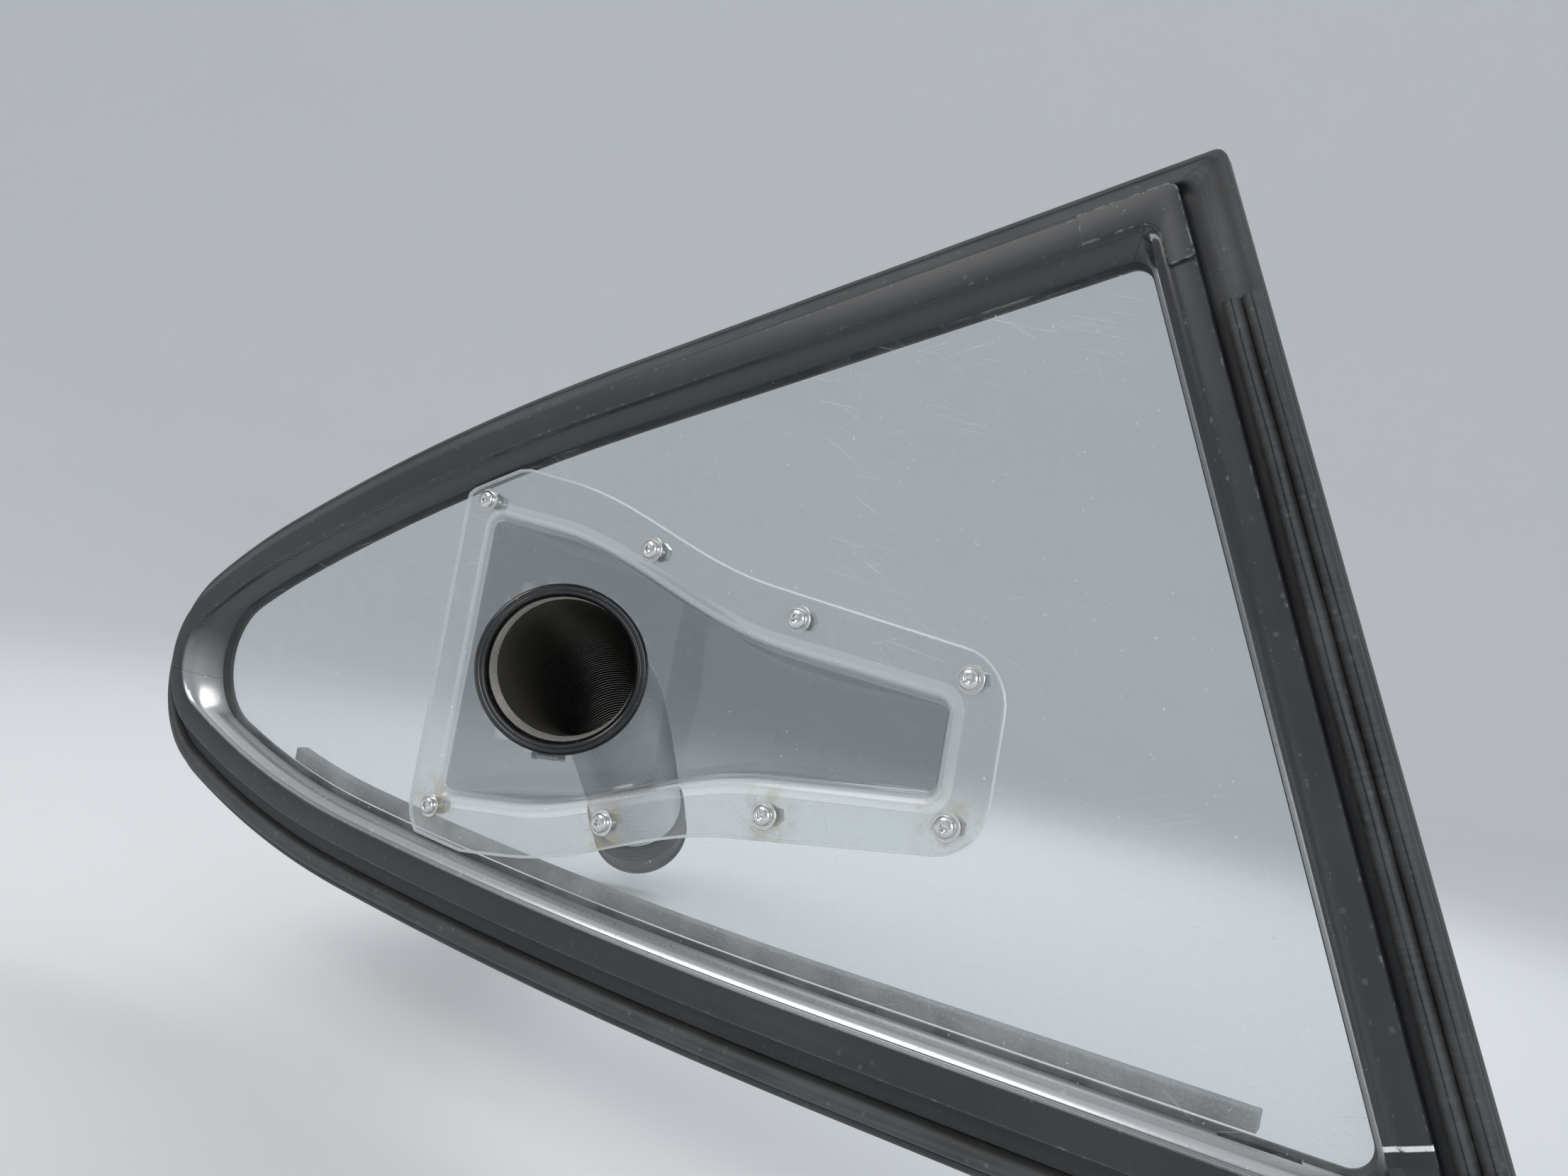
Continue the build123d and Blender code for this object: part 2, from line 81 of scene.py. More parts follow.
class WindowOutline(bpy.types.PropertyGroup):
    """Outer edge of the window's rubber, and where the trim is divided"""

    tip_x: length("Tip place", "Rearmost point of the rubber", -363.8)
    tip_z: length("Tip height", "Height of the rearmost point", 85.3)
    nose_radius: length("Nose radius", "Radius of the rounded rear end", 67.0)
    haunch_radius: length("Haunch radius", "Radius of the upper edge behind the roof", 440.0)
    roof_radius: length("Roof radius", "Radius of the upper edge under the roof", 1434.0)
    keel_radius: length("Keel radius", "Radius of the lower edge at the rear", 546.0)
    sill_radius: length("Sill radius", "Radius of the lower edge at the middle", 3180.0)
    haunch_start: turn("Haunch start", "Spoke where the nose meets the haunch", 128.5)
    roof_start: turn("Roof start", "Spoke where the haunch meets the roof", 119.3)
    roof_line_start: turn("Roof line start", "Spoke where the roof becomes straight", 109.4)
    keel_start: turn("Keel start", "Spoke where the nose meets the keel", 250.7)
    sill_start: turn("Sill start", "Spoke where the keel meets the sill", 265.8)
    sill_line_start: turn("Sill line start", "Spoke where the sill becomes straight", 271.2)
    front_x: length("Front place", "A point on the front edge, along", 305.7)
    front_z: length("Front height", "A point on the front edge, up", 145.0)
    front_lean: share("Front lean", "Run of the front edge for each unit of its rise", 0.4245)
    joint_z: length("Joint height", "Height of the joint at the front edge", 57.2)
    nose_split_z: length("Nose split", "Height of the joint at the rear end", 79.3)
    seam: length("Seam", "Gap where two lengths of trim meet", 0.15)
    cap_along_roof: length("Cap along roof", "Reach of the corner cap along the roof", 37.0)
    cap_along_front: length("Cap along front", "Reach of the corner cap down the front", 31.0)
    clip_width: length("Clip width", "Width of the joint clip", 6.0)
    strip_low_z: length("Strip foot", "Height of the foot of the ribbed strip", 14.0)
    strip_high_z: length("Strip head", "Height of the head of the ribbed strip", 316.0)
    ledge_rear_x: length("Ledge rear", "Rear end of the grained ledge", -240.0)
    ledge_front_x: length("Ledge front", "Front end of the grained ledge", 275.0)


class WindowScoop(bpy.types.PropertyGroup):
    """Moulded air scoop, with lengths along, across and out of the pane"""

    place_x: length("Scoop place", "Origin of the scoop, along", -124.0)
    place_z: length("Scoop height", "Origin of the scoop, up", 127.5)
    turned: turn("Scoop turn", "Turn of the scoop in the pane's plane", 1.3)
    pane_face: length("Pane face", "Height of the pane's outer face", 6.0)
    face: length("Flange face", "Height of the flange's outer face", 8.0)
    sheet: length("Sheet", "Thickness of the moulded sheet", 1.85)
    flange_rear: length("Flange rear", "Rear edge of the flange", -16.0)
    flange_front: length("Flange front", "Front edge of the flange", 291.0)
    flange_level: length("Flange level", "Half width of the flange at the origin", 81.1)
    flange_taper: share("Flange taper", "Loss of half width for each unit forward", 0.149)
    flange_swell: length("Flange swell", "Extra half width at the rear", 18.4)
    flange_swell_start: length("Flange swell start", "Where the swell starts to fall", 56.0)
    flange_swell_end: length("Flange swell end", "Where the swell is gone", 179.0)
    flange_rear_corner: length("Flange rear corner", "Radius of the rear corners", 22.0)
    flange_front_corner: length("Flange front corner", "Radius of the front corners", 24.0)
    lip_rear: length("Lip rear", "Rear edge of the mouth", -1.0)
    lip_front: length("Lip front", "Front edge of the mouth", 272.0)
    lip_level: length("Lip level", "Half width of the mouth at the origin", 52.8)
    lip_taper: share("Lip taper", "Loss of half width for each unit forward", 0.11)
    lip_swell: length("Lip swell", "Extra half width at the rear", 23.7)
    lip_swell_start: length("Lip swell start", "Where the swell starts to fall", 48.0)
    lip_swell_end: length("Lip swell end", "Where the swell is gone", 189.0)
    lip_rear_corner: length("Lip rear corner", "Radius of the rear corners", 11.0)
    lip_front_corner: length("Lip front corner", "Radius of the front corners", 10.0)
    least_corner: length("Least corner", "Smallest corner radius inside the mouth", 3.5)
    lip_roll: length("Lip roll", "Radius of the rolled lip", 7.0)
    draft: share("Draft", "Lean of the walls for each unit of depth", 0.05)
    foot_round: length("Foot round", "Radius where a wall meets the floor", 7.0)
    floor_high: length("Floor limit", "Highest point of the floor", 7.2)
    spigot_s: length("Spigot place", "Middle of the spigot along the scoop", 42.1)
    spigot_h: length("Spigot height", "Middle of the spigot out of the pane", -22.3)
    spigot_tilt: turn("Spigot tilt", "Tilt of the plate under the spigot", 38.5)
    throat_reach: length("Throat reach", "From the spigot's middle to the throat", 46.0)
    ramp_front_s: length("Ramp front", "Where the ramp comes up to the flange's back", 265.0)
    ramp_front_h: length("Ramp front height", "Height of the ramp there", 0.0)
    spine_rear: length("Spine rear", "Rear end of the floor's middle line", 42.0)
    spine_front: length("Spine front", "Front end of the floor's middle line", 245.0)


class WindowDuct(bpy.types.PropertyGroup):
    """Spigot, flexible hose, clamp and cuff"""

    spigot_outer: length("Spigot radius", "Outer radius of the spigot's tube", 38.6)
    hose_gap: length("Hose gap", "From the plate's back to the hose", 3.0)
    rib_pitch: length("Rib pitch", "From one rib of the foil to the next", 4.4)
    bore_pitch: length("Bore rib pitch", "From one rib of the spigot's bore to the next", 4.1)
    valley_radius: length("Valley radius", "Radius of the foil between two ribs", 39.25)
    crest_radius: length("Crest radius", "Radius of the foil on a rib", 40.6)
    wall: length("Wall", "Thickness of the foil and its lining", 0.35)
    diameter: length("Hose diameter", "Outer diameter of the hose", 81.6)
    clamp_start: length("Clamp start", "From the hose's end to the clamp", 14.0)
    clamp_end: length("Clamp end", "From the hose's end to the far side of the clamp", 26.0)
    band_inner: length("Band inner", "Inner radius of the clamp's band", 40.85)
    band_outer: length("Band outer", "Outer radius of the clamp's band", 41.8)
    cuff_inner: length("Cuff seat", "Radius of the cuff's seat on the hose", 40.9)
    cuff_outer: length("Cuff radius", "Outer radius of the cuff", 43.4)
    cuff_bore: length("Cuff bore", "Bore of the cuff's open end", 38.0)
    cuff_cover: length("Cuff cover", "Length of the cuff on the hose", 26.0)
    cuff_spout: length("Cuff spout", "Length of the cuff past the hose", 30.0)


class WindowFasteners(bpy.types.PropertyGroup):
    """Screws, washers and nuts that hold the scoop"""

    rear_s: length("Rear screw, along", "Rear pair of screws along the scoop", 0.0)
    rear_w: length("Rear screw, across", "Rear pair of screws across the scoop", 78.0)
    second_s: length("Second screw, along", "Second pair of screws along the scoop", 110.0)
    second_w: length("Second screw, across", "Second pair of screws across the scoop", 63.0)
    third_s: length("Third screw, along", "Third pair of screws along the scoop", 194.0)
    third_w: length("Third screw, across", "Third pair of screws across the scoop", 41.5)
    front_s: length("Front screw, along", "Front pair of screws along the scoop", 275.0)
    front_w: length("Front screw, across", "Front pair of screws across the scoop", 28.5)
    hole_radius: length("Hole radius", "Radius of each screw hole", 2.75)
    seat: length("Head seat", "Height of the underside of each head", 9.0)


class WindowFinish(bpy.types.PropertyGroup):
    """Colours of the finishes"""

    trim_black: colour("Trim black", "Satin black of the trim", (0.017, 0.0185, 0.022))
    trim_worn: colour("Trim wear", "Worn edges of the trim", (0.17, 0.175, 0.18))
    # Painted reflection: this bright tone goes on the lower rail's upward-facing inner step and stands for the sky
    # seen in it.
    bead: colour("Bead", "Polished bead along the lower trim", (0.56, 0.57, 0.58))
    rubber: colour("Rubber", "Rubber of the gasket and strip", (0.014, 0.0145, 0.0155))
    # Also lightens the gasket's crowns, where it stands partly for a painted highlight.
    dust: colour("Dust", "Dust in the creases", (0.235, 0.237, 0.235))
    vinyl: colour("Vinyl", "Grained vinyl of the ledge", (0.22, 0.225, 0.23))
    clear_tint: colour("Clear tint", "Tint of the clear sheet", (0.885, 0.90, 0.905))
    # Painted shade: the recess walls get this darker tint to stand for the dark interior seen through them.
    recess_tint: colour("Recess tint", "Tint of the scoop's stretched walls", (0.60, 0.62, 0.63))
    stain: colour("Stain", "Yellowish stain round the lower screws", (0.50, 0.42, 0.24))
    # Also used as painted shade in the grooves of the bore and of the hose.
    gloss_black: colour("Gloss black", "Gloss plastic of the spigot", (0.010, 0.010, 0.011))
    foil: colour("Foil", "Outer foil of the hose", (0.86, 0.87, 0.87))
    lining: colour("Lining", "Inside of the hose", (0.42, 0.39, 0.35))
    steel: colour("Steel", "Bright steel of the fasteners", (0.72, 0.72, 0.71))
    backdrop: colour("Backdrop", "Floor and backdrop", (0.78, 0.79, 0.80))


class WindowStudio(bpy.types.PropertyGroup):
    """Camera and light"""

    camera_place: bpy.props.FloatVectorProperty(
        name="Camera place",
        description="Where the camera stands",
        default=(0.3336, -0.4404, 0.159),
        subtype="TRANSLATION",
        unit="LENGTH",
        size=3,
    )
    camera_right: way("Camera right", "Direction of the picture's right side", (0.8333, 0.518, 0.193))
    camera_ahead: way("Camera ahead", "Direction the camera looks in", (-0.5358, 0.8428, 0.0515))
    lens: share("Lens", "Focal length in millimetres on a 36 millimetre sensor", 27.67)
    floor_z: length("Floor height", "Height of the floor under the part", -78.0)
    bowl_radius: length("Backdrop radius", "Radius of the backdrop", 3900.0)
    daylight: share("Daylight", "Strength of the light from above", 0.75)


GROUPS = {
    "window_outline": WindowOutline,
    "window_scoop": WindowScoop,
    "window_duct": WindowDuct,
    "window_fasteners": WindowFasteners,
    "window_finish": WindowFinish,
    "window_studio": WindowStudio,
}


class InMillimetres:
    """Reads the lengths of a property group in millimetres, and its angles and shares as they are."""

    def __init__(self, name):
        self.group = getattr(bpy.context.scene, name)

    def __getattr__(self, name):
        value = getattr(self.group, name)
        return value / MM if self.group.bl_rna.properties[name].unit == "LENGTH" else value


# Modelling


def clear_choice():
    if bpy.context.object and bpy.context.object.mode != "OBJECT":
        bpy.ops.object.mode_set(mode="OBJECT")
    bpy.ops.object.select_all(action="DESELECT")


def choose(piece):
    clear_choice()
    piece.select_set(True)
    bpy.context.view_layer.objects.active = piece


def apply_modifier(piece, kind, **settings):
    choose(piece)
    modifier = piece.modifiers.new(kind.lower(), kind)
    for name, value in settings.items():
        setattr(modifier, name, value)
    bpy.ops.object.modifier_apply(modifier=modifier.name)


def twin(piece, name):
    """A copy of a piece with its own mesh."""
    copy = bpy.data.objects.new(name, piece.data.copy())
    copy.data.name = name
    bpy.context.scene.collection.objects.link(copy)
    return copy


def join(pieces):
    """One piece from several, under the first one's name."""
    clear_choice()
    for piece in pieces:
        piece.select_set(True)
    bpy.context.view_layer.objects.active = pieces[0]
    bpy.ops.object.join()
    return pieces[0]


def discard(piece):
    bpy.data.objects.remove(piece)


def smooth(piece, angle=38):
    choose(piece)
    bpy.ops.object.shade_smooth_by_angle(angle=radians(angle))


def face_outwards(piece, outwards=None):
    """Turn all faces outwards; an open skin is turned towards the way that outwards gives."""
    choose(piece)
    bpy.ops.object.mode_set(mode="EDIT")
    bpy.ops.mesh.select_all(action="SELECT")
    bpy.ops.mesh.normals_make_consistent(inside=False)
    if outwards:
        skin = bmesh.from_edit_mesh(piece.data)
        agreed = 0.0
        for face in skin.faces:
            agreed += face.calc_area() * face.normal.dot(outwards(face.calc_center_median()))
        if agreed < 0:
            bpy.ops.mesh.flip_normals()
    bpy.ops.object.mode_set(mode="OBJECT")


def lay_profile_map(skin, rings, station, number):
    """A map whose u runs round the rings and whose v runs across them, in metres."""
    count = len(rings[0])
    along = [0.0]
    for k in range(count):
        along.append(along[-1] + (rings[0][(k + 1) % count] - rings[0][k]).length)
    across = [0.0]
    for ring, after in zip(rings, rings[1:] + rings[:1]):
        steps = [(after[k] - ring[k]).length for k in range(0, count, max(count // 8, 1))]
        across.append(across[-1] + sum(steps) / len(steps))
    profile = skin.loops.layers.uv.new("profile")
    for face in skin.faces:
        last = any(loop.vert[station] == count - 1 for loop in face.loops)
        for loop in face.loops:
            k = loop.vert[station]
            u = along[count] if last and k == 0 else along[k]
            loop[profile].uv = (u, across[loop.vert[number]])


def grow(name, rings, ends="joined", outwards=None, angle=38):
    """Skin a piece over rings of points, each ring extruded from the last one in edit mode."""
    count = len(rings[0])
    clear_choice()
    bpy.ops.mesh.primitive_circle_add(vertices=count, radius=0.1)
    piece = bpy.context.object
    piece.name = name
    piece.data.name = name
    bpy.ops.object.mode_set(mode="EDIT")
    bpy.ops.mesh.select_mode(type="VERT")
    skin = bmesh.from_edit_mesh(piece.data)
    skin.verts.layers.int.new("station")
    skin.verts.layers.int.new("ring")
    station = skin.verts.layers.int["station"]
    for k, vert in enumerate(skin.verts):
        vert[station] = k
        vert.co = rings[0][k]
    bmesh.update_edit_mesh(piece.data)
    bpy.ops.mesh.select_all(action="SELECT")
    later = rings[1:] + (rings[:1] if ends == "joined" else [])
    for step, ring in enumerate(later, start=1):
        bpy.ops.mesh.extrude_region()
        skin = bmesh.from_edit_mesh(piece.data)
        station = skin.verts.layers.int["station"]
        number = skin.verts.layers.int["ring"]
        for vert in skin.verts:
            if vert.select:
                vert.co = ring[vert[station]]
                vert[number] = step
    lay_profile_map(skin, rings, station, number)
    bmesh.update_edit_mesh(piece.data)
    if ends == "filled":
        for wanted in (0, len(later)):
            bpy.ops.mesh.select_all(action="DESELECT")
            skin = bmesh.from_edit_mesh(piece.data)
            number = skin.verts.layers.int["ring"]
            for vert in skin.verts:
                vert.select_set(vert[number] == wanted)
            skin.select_flush(True)
            bpy.ops.mesh.edge_face_add()
    bpy.ops.mesh.select_all(action="SELECT")
    bpy.ops.mesh.remove_doubles(threshold=1e-6)
    bpy.ops.object.mode_set(mode="OBJECT")
    face_outwards(piece, outwards)
    smooth(piece, angle)
    return piece


def mark(piece, name, values):
    """Give each point of a grown piece the value of its ring, for the finish to read."""
    rings = [0] * len(piece.data.vertices)
    piece.data.attributes["ring"].data.foreach_get("value", rings)
    layer = piece.data.attributes.new(name, "FLOAT", "POINT")
    layer.data.foreach_set("value", [float(values[k % len(values)]) for k in rings])


def cut_away(piece, point, away, near=None):
    """Cut a piece with a plane and take off the side that away points to, with the cut closed."""
    choose(piece)
    bpy.ops.object.mode_set(mode="EDIT")
    bpy.ops.mesh.select_mode(type="FACE")
    bpy.ops.mesh.select_all(action="DESELECT")
    skin = bmesh.from_edit_mesh(piece.data)
    for face in skin.faces:
        face.select_set(near is None or near(face.calc_center_median()))
    bmesh.update_edit_mesh(piece.data)
    bpy.ops.mesh.bisect(plane_co=point, plane_no=away, use_fill=True, clear_outer=True)
    bpy.ops.mesh.select_mode(type="VERT")
    bpy.ops.object.mode_set(mode="OBJECT")
    face_outwards(piece)


def settle(piece, nodes, finishes):
    """Finish a piece: its materials, its body and the nodes that it stands for."""
    for helper in ("station", "ring"):
        if helper in piece.data.attributes:
            piece.data.attributes.remove(piece.data.attributes[helper])
    for finish in finishes:
        piece.data.materials.append(finish)
    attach(piece, "root")
    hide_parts(*nodes)


def spun(name, rows, place, steps, angle=38):
    """A turned piece from rows of radius, height and how far the row is six-sided, closed on itself."""
    rings = []
    for radius, height, sided in rows:
        ring = []
        for k in range(steps):
            spin = 2 * pi * k / steps
            flat = cos(pi / 6) / cos(spin % (pi / 3) - pi / 6)
            reach = radius * (1 - sided + sided * flat)
            ring.append(place @ (Vector((reach * cos(spin), reach * sin(spin), height)) * MM))
        rings.append(ring)
    return rings, name, angle


def arc(centre, radius, start, end, steps):
    points = []
    for k in range(steps):
        spin = start + (end - start) * k / steps
        points.append(centre + spoke(spin) * radius)
    return points


def line(start, end, steps):
    return [start.lerp(end, k / steps) for k in range(steps)]


def spoke(spin):
    return Vector((cos(spin), sin(spin)))


def eased(t):
    t = min(max(t, 0.0), 1.0)
    return t * t * (3 - 2 * t)


def placed(x, h, z):
    """A point of the model, from millimetres along, outward and up."""
    return Vector((x, -h, z)) * MM


def meet(p, along_p, q, along_q):
    """Point where two straight lines cross."""
    det = along_q.x * along_p.y - along_p.x * along_q.y
    gap = q - p
    return p + along_p * ((along_q.x * gap.y - along_q.y * gap.x) / det)


# Window edge

HAUNCH_STEPS = 16
ROOF_STEPS = 22
ROOF_LINE_STEPS = 26
TOP_CORNER_STEPS = 10
FRONT_STEPS = 34
LOW_CORNER_STEPS = 12
SILL_LINE_STEPS = 14
SILL_STEPS = 24
KEEL_STEPS = 28
NOSE_STEPS = 44


class Edge:
    """The window's outer edge in the pane's plane, and the same edge moved inwards, in millimetres."""

    def __init__(self):
        self.sizes = InMillimetres("window_outline")
        sizes = self.sizes
        self.nose = Vector((sizes.tip_x + sizes.nose_radius, sizes.tip_z))
        self.haunch = self.nose + spoke(sizes.haunch_start) * (sizes.nose_radius - sizes.haunch_radius)
        self.roof = self.haunch + spoke(sizes.roof_start) * (sizes.haunch_radius - sizes.roof_radius)
        self.keel = self.nose + spoke(sizes.keel_start) * (sizes.nose_radius - sizes.keel_radius)
        self.sill = self.keel + spoke(sizes.sill_start) * (sizes.keel_radius - sizes.sill_radius)
        self.lean_way = Vector((-sizes.front_lean, 1)).normalized()
        self.inward = Vector((-self.lean_way.y, self.lean_way.x))
        self.out_turn = atan2(-self.inward.y, -self.inward.x)
        self.roof_way = spoke(sizes.roof_line_start - pi / 2)
        self.sill_way = spoke(sizes.sill_line_start + pi / 2)

    def roof_spot(self, top):
        return self.roof + spoke(self.sizes.roof_line_start) * (self.sizes.roof_radius - top)

    def sill_spot(self, low):
        return self.sill + spoke(self.sizes.sill_line_start) * (self.sizes.sill_radius - low)

    def front_spot(self, front):
        return Vector((self.sizes.front_x, self.sizes.front_z)) + self.inward * front

    def front_at(self, z, front=0.0):
        """Point of the front edge that lies at a height on the outer edge, moved inwards."""
        rise = (z - self.sizes.front_z) / self.lean_way.y
        return self.front_spot(front) + self.lean_way * rise

    def top_corner(self, top, front):
        return meet(self.roof_spot(top), self.roof_way, self.front_spot(front), self.lean_way)

    def low_corner(self, low, front):
        return meet(self.sill_spot(low), self.sill_way, self.front_spot(front), self.lean_way)

    def nose_circle(self, top, low, tip):
        """Circle touching the tip line, the inset haunch and the inset keel."""
        upper = self.sizes.haunch_radius - top
        lower = self.sizes.keel_radius - low
        small, large = 1.0, 150.0
        for _ in range(40):
            radius = (small + large) / 2
            x = self.sizes.tip_x + tip + radius
            z_up = self.haunch.y + sqrt(max((upper - radius) ** 2 - (x - self.haunch.x) ** 2, 0))
            z_low = self.keel.y - sqrt(max((lower - radius) ** 2 - (x - self.keel.x) ** 2, 0))
            if z_up > z_low:
                small = radius
            else:
                large = radius
        return radius, Vector((x, (z_up + z_low) / 2))

    def ring(self, top, low, front, tip):
        """Stations round the edge, moved inwards by four insets, from the nose's upper end on."""
        sizes = self.sizes
        top_round = 4 + 4 * eased((top - 12) / 12)
        low_round = 12 - 4 * min(low / 23, 1)
        radius, centre = self.nose_circle(top, low, tip)
        up = atan2(*(centre - self.haunch).yx)
        down = atan2(*(centre - self.keel).yx) % (2 * pi)
        high = self.top_corner(top + top_round, front + top_round)
        foot = self.low_corner(low + low_round, front + low_round)
        out_turn = self.out_turn
        start = high + spoke(sizes.roof_line_start) * top_round
        points = arc(self.haunch, sizes.haunch_radius - top, up, sizes.roof_start, HAUNCH_STEPS)
        points += arc(
            self.roof, sizes.roof_radius - top, sizes.roof_start, sizes.roof_line_start, ROOF_STEPS
        )
        points += line(self.roof_spot(top), start, ROOF_LINE_STEPS)
        points += arc(high, top_round, sizes.roof_line_start, out_turn, TOP_CORNER_STEPS)
        front_foot = foot + spoke(out_turn) * low_round
        points += line(high + spoke(out_turn) * top_round, front_foot, FRONT_STEPS)
        points += arc(foot, low_round, out_turn, sizes.sill_line_start - 2 * pi, LOW_CORNER_STEPS)
        sill_start = foot + spoke(sizes.sill_line_start) * low_round
        points += line(sill_start, self.sill_spot(low), SILL_LINE_STEPS)
        points += arc(
            self.sill, sizes.sill_radius - low, sizes.sill_line_start, sizes.sill_start, SILL_STEPS
        )
        points += arc(self.keel, sizes.keel_radius - low, sizes.sill_start, down, KEEL_STEPS)
        points += arc(centre, radius, down, up, NOSE_STEPS)
        return points

    def shares(self):
        """How much of the top, low and front profile each station takes."""
        shares = [(1, 0, 0)] * (HAUNCH_STEPS + ROOF_STEPS + ROOF_LINE_STEPS)
        for k in range(TOP_CORNER_STEPS):
            t = eased(k / TOP_CORNER_STEPS)
            shares.append((1 - t, 0, t))
        shares += [(0, 0, 1)] * FRONT_STEPS
        for k in range(LOW_CORNER_STEPS):
            t = eased(k / LOW_CORNER_STEPS)
            shares.append((0, t, 1 - t))
        shares += [(0, 1, 0)] * (SILL_LINE_STEPS + SILL_STEPS + KEEL_STEPS)
        for k in range(NOSE_STEPS):
            t = eased(k / NOSE_STEPS)
            shares.append((t, 1 - t, 0))
        return shares

    def skin(self, name, rows, marks):
        """A piece that runs all the way round: rows are its profile, and marks name the last columns."""
        shares = self.shares()
        rings = []
        for top, top_h, low, low_h, front, front_h, tip, *_ in rows:
            flat = self.ring(top, low, front, tip)
            ring = []
            for point, (upper, lower, ahead) in zip(flat, shares):
                height = upper * top_h + lower * low_h + ahead * front_h
                ring.append(placed(point.x, height, point.y))
            rings.append(ring)
        piece = grow(name, rings)
        for column, label in enumerate(marks, start=7):
            mark(piece, label, [row[column] for row in rows])
        return piece

    def low_height(self, x, low):
        """Height of the lower edge, moved inwards, at a place along it."""
        if x > self.sill_spot(0).x:
            spot = self.sill_spot(low)
            return spot.y + (x - spot.x) * self.sill_way.y / self.sill_way.x
        keel_end = self.keel + spoke(self.sizes.sill_start) * self.sizes.keel_radius
        if x > keel_end.x:
            return self.sill.y - sqrt((self.sizes.sill_radius - low) ** 2 - (x - self.sill.x) ** 2)
        return self.keel.y - sqrt((self.sizes.keel_radius - low) ** 2 - (x - self.keel.x) ** 2)

    def inside(self, point, top, low):
        """Whether a point lies inside the edge moved inwards from above and below."""
        sizes = self.sizes
        ray = point - self.roof
        spin = atan2(ray.y, ray.x)
        if spin < sizes.roof_line_start:
            above = sizes.roof_radius - ray.dot(spoke(sizes.roof_line_start))
        elif spin < sizes.roof_start:
            above = sizes.roof_radius - ray.length
        else:
            above = sizes.haunch_radius - (point - self.haunch).length
        below = point.y - self.low_height(point.x, 0)
        return above > top and below > low


def upright(flat):
    """A direction or place in the pane's plane as one in the model."""
    return Vector((flat.x, 0, flat.y))


# Finishes


class Flow:
    """A value inside a finish. Arithmetic on it adds Math nodes."""

    def __init__(self, board, socket):
        self.board = board
        self.socket = socket

    def count(self, operation, *others):
        values = dict(enumerate((self,) + others))
        return self.board.node("ShaderNodeMath", {"operation": operation}, values)

    def __add__(self, other):
        return self.count("ADD", other)

    def __radd__(self, other):
        return self.count("ADD", other)

    def __sub__(self, other):
        return self.count("SUBTRACT", other)

    def __rsub__(self, other):
        return self.board.node("ShaderNodeMath", {"operation": "SUBTRACT"}, {0: other, 1: self})

    def __mul__(self, other):
        return self.count("MULTIPLY", other)

    def __rmul__(self, other):
        return self.count("MULTIPLY", other)

    def __truediv__(self, other):
        return self.count("DIVIDE", other)

    def __pow__(self, other):
        return self.count("POWER", other)

    def least(self, other):
        return self.count("MINIMUM", other)

    def most(self, other):
        return self.count("MAXIMUM", other)

    def ramp(self, low, high, start=0.0, end=1.0):
        """Rises smoothly from start to end while the value goes from low to high."""
        settings = {"interpolation_type": "SMOOTHSTEP"}
        values = {"Value": self, "From Min": low, "From Max": high, "To Min": start, "To Max": end}
        return self.board.node("ShaderNodeMapRange", settings, values)


